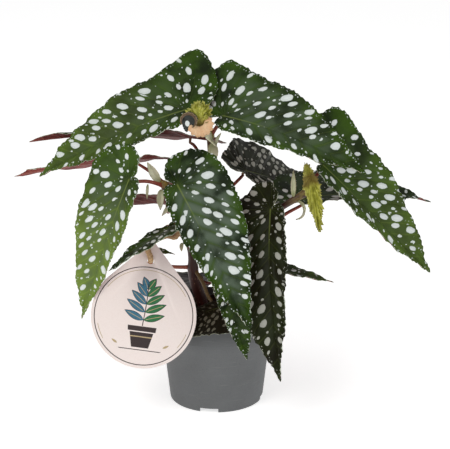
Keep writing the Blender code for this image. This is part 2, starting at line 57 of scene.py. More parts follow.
# The plan of the plant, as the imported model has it: points in millimetres, angles in degrees.
BIG_SPOKES, SMALL_SPOKES, BRACT_SPOKES = 40, 28, 16
TOOTH, WAVE, WAVES = 0.011, 0.010, 7
FINER_LEAF, FINER_BRACT = 6, 3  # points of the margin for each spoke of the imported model's blade
LEAF_RINGS = {BIG_SPOKES: 26, SMALL_SPOKES: 20}
YOUNG_RINGS, FOLD_RINGS, BRACT_RINGS = 16, 12, 10
CUP_STEPS, CUP_RINGS, CUP_THICKNESS = 96, 12, 0.5
SAME_POINT, SAME_POINT_TUBE = 0.001, 0.005  # points this near each other are merged, in millimetres
PETIOLE_ROOT, PETIOLE_TIP, PETIOLE_NECK = 2.1, 1.5, 5.0
JOINT_REACH, ROOT_SWELLING, ROOT_REACH = 3.2, 0.9, 5.0  # how far a joint's and a petiole's swellings go
BLADE_GAP = 0.7  # from a blade's middle to the end of its petiole
WIDE_SIDE = ((-0.022, -0.022), (-0.075, -0.048), (-0.135, -0.03), (-0.19, 0.02), (-0.21, 0.08),
             (-0.185, 0.15), (-0.12, 0.22), (-0.02, 0.275), (0.10, 0.30), (0.25, 0.292), (0.40, 0.262),
             (0.55, 0.212), (0.70, 0.145), (0.84, 0.075), (0.94, 0.025), (1.0, 0.0))
NARROW_SIDE = ((1.0, 0.0), (0.95, -0.016), (0.86, -0.045), (0.70, -0.085), (0.52, -0.112), (0.34, -0.125),
               (0.18, -0.125), (0.07, -0.112), (-0.005, -0.088), (-0.035, -0.055), (-0.022, -0.022))
LOBE_CENTRE, LOBE_REACH, LOBE_PULL = (-0.13, 0.24), 0.12, (-0.4, 0.85)
BRACT_SIDE = ((-0.03, 0.0), (0.02, 0.11), (0.25, 0.19), (0.55, 0.18), (0.85, 0.07), (1.0, 0.0))


@dataclass
class Blade:
    """A blade's place, its attitude, how it bends, and how it is coloured."""

    at: tuple  # where the petiole joins
    heading: float  # 0 is +X, 90 is +Y
    pitch: float
    roll: float
    length: float
    side: int = 1  # +1: the wide side is on the left of the heading
    width: float = 1.0
    bend: float = 20.0
    fold: float = 10.0
    arch: float = 28.0
    sweep: float = 0.0
    lobe: float = 0.03
    tooth: float = TOOTH
    wave: float = WAVE
    spokes: int = BIG_SPOKES
    silver: float = 0.3  # how silvery it is between its veins: partly its own silver colouring, partly a painted reflection of the sky
    pale: float = 0.3  # below 0 old and dark, partly the leaf's own colour and partly painted shade where it lies in shade; through 0, to fresh green at 1
    fringe: float = 0.005  # its fine teeth and its small waves, as shares of its length
    ruffle: float = 0.006
    fineness: float = 1.0  # how much finer its veins and spots are than a large leaf's

    def frame(self):
        """The unit vectors along, across and out of the blade where the petiole joins."""
        heading, pitch, roll = (math.radians(angle) for angle in (self.heading, self.pitch, self.roll))
        flat = Vector((math.cos(heading), math.sin(heading), 0))
        along = flat * math.cos(pitch) + Vector((0, 0, math.sin(pitch)))
        level = Vector((-math.sin(heading), math.cos(heading), 0))
        up = along.cross(level)
        across = level * math.cos(roll) + up * math.sin(roll)
        return along, across, up * math.cos(roll) - level * math.sin(roll)

    def under(self, depth):
        """A point this far in millimetres under the place where the petiole joins."""
        return tuple(Vector(self.at) - self.frame()[2] * depth)


SMALL = {"spokes": SMALL_SPOKES}
EDGE_ON = {"fringe": 0.002, "ruffle": 0.003}  # a leaf seen along its edge keeps a calm margin
# A pale below 0 is partly painted shade: leaf_over_rim, leaf_back_low_left, leaf_back_middle and
# leaf_front_right lie in the shade of the others and are painted darkest
LEAVES = {
    "leaf_upper_left": Blade((-31, 16, 306), 189, -15, -40, 168, -1, width=0.96, bend=25, fold=9, lobe=0.22),
    "leaf_upper_right": Blade((8, 10, 301), -32, -4, 40, 160, width=1.06, bend=34, fold=13, lobe=0.16,
                              silver=0.6, pale=0.05),
    "leaf_right": Blade((110, 5, 250), 0, -44, 41, 165, width=1.05, bend=8, fold=20, sweep=0.03, lobe=0.13,
                        silver=0.2),
    "leaf_left": Blade((-86, -43, 248), 205, -65, -28, 150, -1, bend=11, fold=11, silver=0.55, pale=0.95,
                       fineness=1.15),
    "leaf_front": Blade((-38, -35, 240), -57, -38, 30, 164, bend=27, fold=8, silver=1.0, pale=0.0),
    "leaf_front_right": Blade((55, -30, 213), -96, -46, 24, 174, -1, width=0.93, bend=28, fold=12,
                              lobe=-0.04, silver=0.15, pale=-0.85),
    "leaf_back_middle": Blade((31, 50, 233), 50, -20, 40, 165, bend=8, fold=8, sweep=0.02, lobe=-0.07,
                              silver=0.0, pale=-0.9, fringe=0.003, fineness=1.25),
    "leaf_back_right": Blade((92, 30, 207), 22, 6, 12, 160, bend=28, fold=12, silver=0.5, pale=-0.3),
    "leaf_back_left": Blade((-27, 45, 270), 175, 4, 23, 170, -1, bend=12, fold=9, arch=12, pale=-0.3,
                            **EDGE_ON),
    "leaf_low_left": Blade((-80, 10, 256), 163, -8.5, 24, 142, -1, bend=6, fold=10, arch=12, sweep=0.02,
                           **EDGE_ON),
    "leaf_over_tag": Blade((-48, -38, 197), 228, -14, 11, 90, fold=12, bend=4, sweep=0.04, silver=0.7,
                           pale=-0.3, fineness=1.3, **SMALL),
    "leaf_mid_left": Blade((-51, 15, 208), 178, 0, 30, 84, bend=4, fold=8, arch=10, pale=-0.35,
                           **SMALL, **EDGE_ON),
    "leaf_behind_tag": Blade((-84, -4, 161), 4, 4, 7, 42, silver=1.8, fineness=2.2, **SMALL),
    "leaf_low_front": Blade((3, -44, 165), -71, -42, 20, 106, bend=38, pale=-0.1, fineness=1.5, **SMALL),
    "leaf_over_rim": Blade((16, -37, 115), 197, -9, -15, 96, width=1.12, bend=16, fold=5, arch=120,
                           silver=0.0, pale=-1.25, fineness=2.0, **SMALL),
    "leaf_low_right": Blade((60, 31, 129), 16, -14, 8, 72, width=0.9, bend=5, fineness=1.3, **SMALL),
    "leaf_side_right": Blade((63, -2, 160), 0, -88, 0, 127, -1, bend=3, pale=-0.2, **SMALL),
    "leaf_back_high": Blade((-6, 66, 214), 98, -35, 0, 155, silver=0.5),
    "leaf_back_low_right": Blade((38, 56, 172), 76, -45, 0, 132, silver=0.4, **SMALL),
    "leaf_back_low_left": Blade((-16, 52, 115), 100, -28, 0, 128, silver=0.0, pale=-1.0, **SMALL),
}
YOUNG_LEAVES = {
    "young_leaf_top": Blade((-15, -9, 295), 70, 118, 0, 28, width=2.2, bend=25, fold=6, arch=60, tooth=0.06,
                            wave=0.03, lobe=0, fringe=0.035, ruffle=0.07, **SMALL),
    "young_leaf_right": Blade((96, -8, 243), -40, -75, 32, 60, -1, width=0.95, bend=14, fold=45, tooth=0.04,
                              wave=0.03, lobe=0, fringe=0.03, ruffle=0.02, **SMALL),
}


def bract(at, heading, pitch, roll, length, width=1.0, bend=0.0, fold=35.0):
    """A papery scale with the same cupped form as a blade, and no teeth."""
    return Blade(at, heading, pitch, roll, length, width=width, bend=bend, fold=fold, arch=0, tooth=0,
                 wave=0, lobe=0, spokes=BRACT_SPOKES, fringe=0.01, ruffle=0.02)


BRACTS = {
    "bract_left_up": bract((-57, -20.5, 240), 150, 52, -60, 24, 1.1, 8),
    "bract_left_down": bract((-55, -22, 232), 240, -82, -20, 21, 1.1, 8),
    "bract_left_low": bract((-46, -20.5, 216), 200, -50, -60, 15, 0.9, -25),
    "bract_left_bud": bract((-68, -31, 240), 250, -80, 0, 15, 0.6, 0),
    "bract_top_down": bract((-4, 16, 271), -80, -80, 0, 22, 1.5, 5),
    "bract_top_up": bract((0, 20, 268), -50, 66, 0, 17, 0.9, 10),
    "bract_right_up": bract((79, -2, 220), 90, 82, 0, 27, 0.6, -4),
    "bract_right_hook": bract((84, -3, 214), 0, -35, 20, 27, 0.7, 125),
    "bract_low": bract((-34.15, -9.6, 172), 230, -75, 0, 9, 1.7, 0),
    "bud_sheath": bract((-4, 6.5, 277), 228, 8, -50, 24, 2.6, -60, 25),
}
FOLDED_LEAF = Blade((-29, -14, 307.2), 200, -84, -55, 19, width=1.9, bend=30, fold=10, arch=70, tooth=0.02,
                    lobe=0, silver=1.0, pale=-0.45, fineness=0.8, **SMALL)
# The ruffled cup round the youngest leaf, as crescents: their middles, arcs, radii, frills and dishes.
CUP_LOWER = ((-17, -11, 301.5), (196, 386), (6, 16.5), 1.4, -5.5)
CUP_UPPER = ((-16, -8, 304), (-20, 185), (1, 15), 2.2, 4)
FOLD_RIM = ((-27.4, -17.5, 301.4), (-60, 205), (6.4, 9.4), 0.3, 2)
FOLD_SPOT = (-28.6, 298.6, 2.2, 3.2)  # x and z of its middle, and half its width and height
FOOT_Z = 71  # where a cane ends in the soil
CANES = {
    "cane_left": (
        ((-13, 3, FOOT_Z, 5.4), (-13, 3, 95, 5.6), (-16, 2, 107, 6.0), (-21, -1, 124, 6.2),
         (-24, -4, 140, 5.6), (-24.5, -6, 155, 4.6), (-27, -7, 168, 4.0), (-34, -9, 182, 3.6),
         (-43, -15, 210, 3.2), (-51, -22, 236, 3.8), (-55, -24, 240, 2.4)),
        (
            ("leaf_left", ((-51, -22, 236), (-67, -30, 243), (-80, -37, 245))),
            ("leaf_front", ((-51, -22, 236), (-46, -27, 236))),
            ("leaf_low_left", ((-52, -22, 238), (-61, -11, 244), (-72, 2, 248))),
            ("leaf_over_tag", ((-34, -9, 182), (-40, -19, 186), (-46, -31, 190))),
            ("leaf_mid_left", ((-42, -14, 206), (-47, -2, 204), (-50, 8, 200))),
            ("leaf_behind_tag", ((-24, -4, 144), (-44, -3, 144), (-68, -3, 147), (-80, -4, 152))),
            ("leaf_over_rim", ((-24, -4, 144), (-14, -15, 131), (-7, -22, 116), (4, -31, 107))),
        ),
    ),
    "cane_back": (
        ((8, 26, FOOT_Z, 4.2), (8, 26, 95, 4.2), (8, 26, 107, 4.2), (4, 20, 140, 3.9), (-1, 13, 185, 3.6),
         (-4, 17, 235, 3.3), (-6, 20, 270, 3.4), (-6, 19, 278, 3.9), (-8, 17, 284, 2.6)),
        (
            ("leaf_upper_left", ((-6, 19, 278), (-13, 22, 289), (-24, 22, 298))),
            ("leaf_upper_right", ((-6, 19, 278), (0, 18, 287), (5, 18, 294))),
            ("young_leaf_top", ((-8, 16, 283), (-12, 4, 291))),
            ("leaf_back_left", ((-3, 16, 228), (-12, 28, 246), (-22, 42, 261))),
            ("leaf_back_middle", ((-1, 13, 200), (11, 34, 214), (27, 50, 227))),
            ("leaf_low_front", ((1, 16, 168), (7, -8, 170), (11, -28, 165))),
            ("leaf_back_high", ((-2, 15, 190), (-5, 36, 202), (-6, 56, 208))),
            ("leaf_back_low_left", ((7, 25, 111), (-3, 36, 113), (-10, 43, 110))),
        ),
    ),
    "cane_right": (
        ((22, 38, FOOT_Z, 4.0), (22, 38, 95, 4.0), (23, 37, 107, 4.0), (29, 22, 130, 3.7),
         (40, 4, 168, 3.4), (54, -1, 193, 3.2), (66, 0, 206, 3.1), (79, 0, 215, 3.5),
         (91, 0, 223, 3.6), (95, 0, 229, 2.4)),
        (
            ("leaf_right", ((91, 0, 223), (99, 1, 235), (104, 2, 243))),
            ("young_leaf_right", ((91, 0, 223), (94, -1, 233))),
            ("leaf_back_right", ((43, 3, 175), (68, 18, 192), (86, 27, 200))),
            ("leaf_front_right", ((58, 0, 198), (58, -14, 203), (55, -22, 204))),
            ("leaf_side_right", ((38, 7, 162), (44, 4, 164), (53, 0, 162))),
            ("leaf_low_right", ((29, 22, 130), (42, 28, 126), (54, 31, 122))),
            ("leaf_back_low_right", ((24, 34, 113), (30, 44, 140), (36, 52, 162))),
        ),
    ),
}
OLIVE_PETIOLES = {"leaf_over_rim": 0.8, "young_leaf_right": 0.4, "leaf_behind_tag": -0.7}  # -1 is pink
POT_HEIGHT, POT_RIM, POT_SHOULDER, POT_FOOT, POT_WALL, RIM_BEAD = 100, 61, 57.5, 49, 1.4, 0.7
COLLAR_HEIGHT, FOOT_HEIGHT, FOOT_WIDTH, PAD_RADIUS = 24, 5, 3, 14
DRAINS, DRAIN_RADIUS, DRAIN_CIRCLE, DRAIN_START = 8, 3.5, 28, 10
NOTCHES, NOTCH_WIDTH, NOTCH_HEIGHT, NOTCH_START = 4, 19.5, 4.4, 261
SOIL_LEVEL, SOIL_DOME, SOIL_GAP, CANE_GAP = 91, 2.5, 0.3, 0.6
SOIL_SIDES, SOIL_RINGS, SOIL_WAVES, SOIL_SEED = 120, 33, 26, 7
CANE_HOLE = 48  # how deep the holes for the canes are drilled, from below their feet to above the soil
TAG_RADIUS, TAG_POINT, TAG_THICKNESS, TAG_HOLE_RADIUS, TAG_HOLE_UP = 53, 76, 0.8, 3.4, 56
TAG_CENTRE, TAG_LEAN, TAG_SWING = (-72.5, -67, 113.5), 14, 7.5
TWINE_RADIUS, TWINE_GAP, TWINE_STEPS = 2.2, 0.3, 260
PLY_RADIUS, PLY_AWAY = 0.85 * TWINE_RADIUS, 0.5 * TWINE_RADIUS  # each of its two plies
PLY_SIDE = (0.31, 0.17, 0.93)  # a ply's turn starts square to this and to the loop
TWINE_ON_TAG = ((-0.8, 60.5), (-3.5, 65), (-5, 70), (-4.5, 75))
VIEW_TARGET, SENSOR = (0.0091, 0, 0.189), 36  # where the camera looks, in m, and its sensor's width, in mm

# How the veins run, in millimetres on the flat blade.
VEIN_ANGLE = math.radians(42)
VEIN_STEP = 17.0
VEIN_CURVE = 0.0045
FAN_RADIUS = 35.0


def paint(red, green, blue):
    """A colour from its 0 to 255 screen values."""
    return tuple((c / 255 / 12.92) if c <= 10 else ((c / 255 + 0.055) / 1.055) ** 2.4
                 for c in (red, green, blue))


# ---------------------------------------------------------------- shader maths


class Wire:
    """One output of a node. Arithmetic on it adds Math nodes."""

    def __init__(self, graph, socket):
        self.graph = graph
        self.socket = socket

    def of(self, name):
        """Another output of the same node."""
        return Wire(self.graph, self.socket.node.outputs[name])

    def __add__(self, other):
        return self.graph.math("ADD", self, other)

    def __sub__(self, other):
        return self.graph.math("SUBTRACT", self, other)

    def __mul__(self, other):
        return self.graph.math("MULTIPLY", self, other)

    def __truediv__(self, other):
        return self.graph.math("DIVIDE", self, other)

    def __rsub__(self, other):
        return self.graph.math("SUBTRACT", other, self)

    __radd__ = __add__
    __rmul__ = __mul__


class Graph:
    """The nodes of one material."""

    def __init__(self, name):
        self.material = bpy.data.materials.new(name)
        self.material.use_nodes = True
        self.tree = self.material.node_tree
        self.shader = self.tree.nodes["Principled BSDF"]

    def feed(self, socket, value):
        if isinstance(value, Wire):
            self.tree.links.new(value.socket, socket)
        elif socket.type == "RGBA":
            socket.default_value = (*value, 1)[:4]
        else:
            socket.default_value = value

    def node(self, kind, inputs, output=0, **settings):
        """Adds a node, makes its settings, then feeds its sockets."""
        made = self.tree.nodes.new("ShaderNode" + kind)
        for name, value in settings.items():
            setattr(made, name, value)
        for name, value in inputs.items():
            self.feed(made.inputs[name], value)
        return Wire(self, made.outputs[output])

    def math(self, operation, *values):
        return self.node("Math", dict(enumerate(values)), operation=operation)

    def most(self, first, second):
        return self.math("MAXIMUM", first, second)

    def least(self, first, second):
        return self.math("MINIMUM", first, second)

    def step(self, value, low, high):
        """0 below low, 1 above high, and smooth between them."""
        return self.node("MapRange", {"Value": value, "From Min": low, "From Max": high},
                         interpolation_type="SMOOTHSTEP")

    def mix(self, share, first, second):
        """The first colour where share is 0, the second where it is 1."""
        return self.node("Mix", {0: share, 6: first, 7: second}, output=2, data_type="RGBA")

    def split(self, vector):
        made = self.node("SeparateXYZ", {"Vector": vector})
        return made, made.of("Y"), made.of("Z")

    def join(self, x, y, z):
        return self.node("CombineXYZ", {"X": x, "Y": y, "Z": z})

    def attribute(self, name):
        return self.node("Attribute", {}, output="Vector", attribute_name=name)

    def place(self, *scale):
        """The piece's own place, in metres, drawn out by these three shares if they are given."""
        place = self.node("TexCoord", {}, output="Object")
        if not scale:
            return place
        return self.node("VectorMath", {0: place, 1: scale}, operation="MULTIPLY")

    def noise(self, vector, scale, detail=2.0, roughness=0.5):
        inputs = {"Vector": vector, "Scale": scale, "Detail": detail, "Roughness": roughness}
        return self.node("TexNoise", inputs)

    def cells(self, vector, scale):
        return self.node("TexVoronoi", {"Vector": vector, "Scale": scale}, output="Distance")

    def dots(self, vector, gap, randomness):
        """The distance from the nearest dot's middle, and two random numbers that go with the dot."""
        dot = self.node("TexVoronoi", {"Vector": vector, "Scale": 1 / gap, "Randomness": randomness},
                        voronoi_dimensions="2D")
        return dot, *self.split(dot.of("Color"))[:2]

    def bump(self, height, distance, strength):
        return self.node("Bump", {"Height": height, "Distance": distance, "Strength": strength})

    def finish(self, **inputs):
        """Feeds the shader's sockets, named with underscores for spaces."""
        for name, value in inputs.items():
            self.feed(self.shader.inputs[name.replace("_", " ")], value)
        return self.material


# ---------------------------------------------------------------- modelling tools


def deselect():
    if bpy.context.mode != "OBJECT":
        bpy.ops.object.mode_set(mode="OBJECT")
    bpy.ops.object.select_all(action="DESELECT")


def activate(obj):
    deselect()
    obj.select_set(True)
    bpy.context.view_layer.objects.active = obj
    return obj


def added(kind, **settings):
    """A new mesh primitive, with nothing else selected."""
    deselect()
    getattr(bpy.ops.mesh, f"primitive_{kind}_add")(**settings)
    return bpy.context.view_layer.objects.active


def named(obj, name):
    obj.name = obj.data.name = name
    return obj


def modified(obj, kind, **settings):
    """Adds a modifier with these settings and applies it."""
    modifier = obj.modifiers.new(kind.title(), kind)
    for name, value in settings.items():
        setattr(modifier, name, value)
    activate(obj)
    bpy.ops.object.modifier_apply(modifier=modifier.name)
    return obj


def welded(obj, reach):
    """Merges the points that lie within this reach of each other."""
    activate(obj)
    bpy.ops.object.mode_set(mode="EDIT")
    bpy.ops.mesh.select_all(action="SELECT")
    bpy.ops.mesh.remove_doubles(threshold=reach)
    bpy.ops.object.mode_set(mode="OBJECT")
    return obj


def cut_with(obj, cutter):
    modified(obj, "BOOLEAN", operation="DIFFERENCE", object=cutter, solver="EXACT")
    bpy.data.objects.remove(cutter, do_unlink=True)


def drilled(obj, radius, depth, place, sides=24):
    """Cuts an upright round hole of this size round this place, in millimetres."""
    cut_with(obj, added("cylinder", vertices=sides, radius=radius * MM, depth=depth * MM,
                        location=[length * MM for length in place]))


def joined(objects, name):
    activate(objects[0])
    for obj in objects[1:]:
        obj.select_set(True)
    if len(objects) > 1:
        bpy.ops.object.join()
    return named(bpy.context.view_layer.objects.active, name)


def smoothed(obj, degrees):
    activate(obj)
    bpy.ops.object.shade_smooth_by_angle(angle=math.radians(degrees))
    return obj


def placed(obj, *materials):
    """Puts the piece's place in its mesh and gives it its finishes."""
    activate(obj)
    bpy.ops.object.transform_apply(location=True, rotation=True, scale=True)
    obj.data.materials.clear()
    for material in materials:
        obj.data.materials.append(material)
    return obj


def keep(obj, slot, *nodes):
    """Makes the piece part of the object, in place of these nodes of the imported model."""
    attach(obj, "root")
    if nodes:
        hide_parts(*nodes)


def coordinates(mesh):
    flat = np.empty(len(mesh.vertices) * 3)
    mesh.vertices.foreach_get("co", flat)
    return flat.reshape(-1, 3)


def set_coordinates(mesh, points):
    mesh.vertices.foreach_set("co", np.asarray(points, float).ravel())
    mesh.update()


def set_attribute(mesh, name, vectors):
    """A vector for each point, which the finishes read."""
    made = mesh.attributes.new(name, "FLOAT_VECTOR", "POINT")
    made.data.foreach_set("vector", np.asarray(vectors, np.float32).ravel())


def catmull_rom(points, steps):
    """A smooth curve through the points, with this many steps between neighbours."""
    points = [np.array(p, float) for p in points]
    ends = [2 * points[0] - points[1], *points, 2 * points[-1] - points[-2]]
    curve = []
    for a, b, c, d in zip(ends, ends[1:], ends[2:], ends[3:]):
        for t in np.arange(steps) / steps:
            curve.append(0.5 * (2 * b + (c - a) * t + (2 * a - 5 * b + 4 * c - d) * t**2
                                + (3 * b - a - 3 * c + d) * t**3))
    return np.array(curve + [points[-1]])


def evenly(curve, count):
    """count + 1 points at equal distances along a curve."""
    along = np.concatenate([[0], np.cumsum(np.linalg.norm(np.diff(curve, axis=0), axis=1))])
    at = np.linspace(0, along[-1], count + 1)
    return np.stack([np.interp(at, along, axis) for axis in curve.T], axis=-1)


def tube(name, stations, sides, closed=False):
    """A round tube through stations of (x, y, z, radius) in millimetres, as a mesh."""
    curve = bpy.data.curves.new(name, "CURVE")
    curve.dimensions = "3D"
    curve.bevel_depth = MM
    curve.bevel_resolution = sides // 2 - 2
    curve.use_fill_caps = not closed
    spline = curve.splines.new("POLY")
    spline.use_cyclic_u = closed
    spline.points.add(len(stations) - 1)
    for point, (x, y, z, radius) in zip(spline.points, stations):
        point.co = (x * MM, y * MM, z * MM, 1)
        point.radius = radius
    obj = bpy.data.objects.new(name, curve)
    bpy.context.scene.collection.objects.link(obj)
    activate(obj)
    bpy.ops.object.convert(target="MESH")
    return welded(bpy.context.view_layer.objects.active, SAME_POINT_TUBE * MM)


# ---------------------------------------------------------------- blades


def vein_flow(x, y):
    """Where a point of the flat blade lies among the veins: a vein's start on the rib, and the way along."""
    out = np.abs(y)
    angle = np.arctan2(out, x)
    reach = np.hypot(x, y)
    behind = angle > VEIN_ANGLE
    length = np.where(behind, reach, out / math.sin(VEIN_ANGLE))
    start = np.where(behind, (VEIN_ANGLE - angle) * FAN_RADIUS, x - out / math.tan(VEIN_ANGLE))
    return start - VEIN_CURVE * (length * math.sin(VEIN_ANGLE)) ** 2, length


def leaf_outline(spokes, finer):
    wide_count = round(spokes * 0.56) * finer
    wide = evenly(catmull_rom(WIDE_SIDE, 24), wide_count)
    narrow = evenly(catmull_rom(NARROW_SIDE, 24), spokes * finer - wide_count)
    return np.concatenate([wide[:-1], narrow[:-1]])


def bract_outline(spokes, finer):
    half = evenly(catmull_rom(BRACT_SIDE, 24), spokes * finer // 2)
    return np.concatenate([half[:-1], (half * (1, -1))[:0:-1]])


def drawn_out(spec, x, y):
    """A point of the plain outline drawn out to this blade's own outline, in shares of its length."""
    reach = ((x - LOBE_CENTRE[0]) ** 2 + (y - LOBE_CENTRE[1]) ** 2) / (2 * LOBE_REACH**2)
    pull = spec.lobe * np.exp(-reach)
    x, y = x + LOBE_PULL[0] * pull, y + LOBE_PULL[1] * pull
    return x, y * spec.width + spec.sweep * np.maximum(x, 0) ** 2


def bent(spec, x, y, lift):
    """The places in metres of points of the blade's own outline, lifted by shares of its length."""
    y = y * spec.side
    bend = math.radians(spec.bend) or 1e-4
    turn = bend * x
    rise = math.radians(spec.fold) - math.radians(spec.arch) * np.abs(y) / 2
    up = np.abs(y) * np.sin(rise)
    px = np.sin(turn) / bend + np.sin(turn) * up
    py = y * np.cos(rise)
    pz = -(1 - np.cos(turn)) / bend + np.cos(turn) * up + lift
    along, across, out = (np.array(axis) for axis in spec.frame())
    at = np.array(spec.at, float)
    points = px[:, None] * along + py[:, None] * across + pz[:, None] * out
    return (at + points * spec.length) * MM


def margin_teeth(name, spec, margin, look):
    """How far each point of the margin stands out, and which way: shallow lobes with fine teeth on them."""
    rng = np.random.default_rng(len(name) + round(spec.length))
    ahead = np.roll(margin, -1, axis=0) - np.roll(margin, 1, axis=0)
    ahead /= np.linalg.norm(ahead, axis=1)[:, None]
    away = np.column_stack([-ahead[:, 1], ahead[:, 0]])
    away *= np.sign((away * margin).sum(axis=1).sum())
    count = len(margin)
    spoke = np.arange(count)
    lobes = np.cumsum(rng.uniform(0.6, 1.4, look.lobes))
    starts = np.concatenate([[0], lobes / lobes[-1] * count])
    lobe = np.clip(np.searchsorted(starts, spoke, side="right") - 1, 0, look.lobes - 1)
    share = (spoke - starts[lobe]) / (starts[lobe + 1] - starts[lobe])
    share = np.where(ahead[:, 0] > 0, share, 1 - share)
    height = rng.uniform(0.4, 1.0, look.lobes)[lobe] * spec.tooth
    bite = height * (np.minimum(share**0.8, (1 - share) * 4) * 1.6 - 0.55)
    size = rng.uniform(0.3, 1.2, count // 3 + 1)[spoke // 3]
    bite += spec.fringe * np.array((-0.5, 1.0, 0.2))[spoke % 3] * size
    quiet = np.minimum(np.minimum(spoke, count - spoke) / 6, 1)
    return bite * quiet, away


def shaped_blade(name, spec, outline, finer, rings, look, finishes):
    """A grid wrapped round the end of the petiole, drawn out to the outline and bent into the blade."""
    spokes = spec.spokes * finer
    seed = len(name) * 7 + spec.length
    blade = named(added("grid", x_subdivisions=spokes, y_subdivisions=rings, size=1), name)
    mesh = blade.data
    grid = coordinates(mesh)
    turn = grid[:, 0] + 0.5
    radius = grid[:, 1] + 0.5
    margin = outline(spec.spokes, finer)
    spoke = np.round(turn * spokes).astype(int) % spokes
    rim_x, rim_y = margin[spoke].T
    bite, away = margin_teeth(name, spec, margin, look)
    push = bite[spoke] * radius**9
    x, y = drawn_out(spec, rim_x * radius + away[spoke, 0] * push, rim_y * radius + away[spoke, 1] * push)
    edge_x, edge_y = drawn_out(spec, *margin.T)
    edge = np.stack([edge_x, edge_y], axis=-1) * spec.length
    flat = np.stack([x, y], axis=-1) * spec.length
    to_edge = np.min(np.linalg.norm(flat[:, None] - edge[None], axis=2), axis=1)
    start, length = vein_flow(*flat.T * spec.fineness)
    pillow = np.abs(np.sin(np.pi * start / VEIN_STEP)) - 0.6
    inner = np.clip(to_edge / 9, 0, 1) * np.clip(length / 10, 0, 1)
    lift = spec.wave * radius**2 * np.sin(math.tau * WAVES * turn)
    lift += spec.ruffle * radius**5 * np.sin(math.tau * look.ruffles * turn + seed)
    lift += look.quilt / spec.length * pillow * inner * (radius < 1)
    set_coordinates(mesh, bent(spec, x, y, lift))
    set_attribute(mesh, "flat", np.column_stack([flat, to_edge]) * spec.fineness)
    set_attribute(mesh, "tone", np.tile((spec.silver, spec.pale, seed), (len(grid), 1)))
    welded(blade, SAME_POINT * MM)
    facing = sum((face.normal * face.area for face in mesh.polygons), Vector())
    if facing.dot(spec.frame()[2]) < 0:
        mesh.flip_normals()
    mesh.shade_smooth()
    return modified(placed(blade, *finishes), "SOLIDIFY", thickness=look.thickness * MM, offset=0,
                    material_offset=1, material_offset_rim=2)


def flow_wires(g, x, y):
    """vein_flow as nodes, with how wide a step between veins is there, whether the vein runs ahead from the
    rib, and how far from the rib the point is."""
    out = g.math("ABSOLUTE", y)
    angle = g.math("ARCTAN2", out, x)
    reach = g.math("SQRT", x * x + out * out)
    behind = g.math("GREATER_THAN", angle, VEIN_ANGLE)
    ahead = 1 - behind
    length = behind * reach + ahead * out / math.sin(VEIN_ANGLE)
    start = behind * (VEIN_ANGLE - angle) * FAN_RADIUS + ahead * (x - out / math.tan(VEIN_ANGLE))
    bow = length * math.sin(VEIN_ANGLE)
    spread = behind * reach / FAN_RADIUS + ahead * math.sin(VEIN_ANGLE)
    return start - bow * bow * VEIN_CURVE, length, spread, ahead, out


def spot_layer(g, flow, shift, row, gap, radius, stretch, randomness):
    """Ovals drawn out along the veins: the distance from the nearest one's middle in its radii, and two
    random numbers that go with it."""
    start, length, spread, ahead = flow
    column, line = start / row + shift, length / gap + shift * 0.37
    cell = g.node("TexVoronoi", {"Vector": g.join(column, line, 0.0), "Scale": 1.0, "Randomness": randomness},
                  output="Position", voronoi_dimensions="2D")
    centre_column, centre_line, _ = g.split(cell)
    chance, luck, _ = g.split(cell.of("Color"))
    aside = (column - centre_column) * row
    across = aside * spread / radius
    along = ((line - centre_line) * gap + aside * ahead * math.cos(VEIN_ANGLE)) / (radius * stretch)
    return g.math("SQRT", across * across + along * along), chance, luck


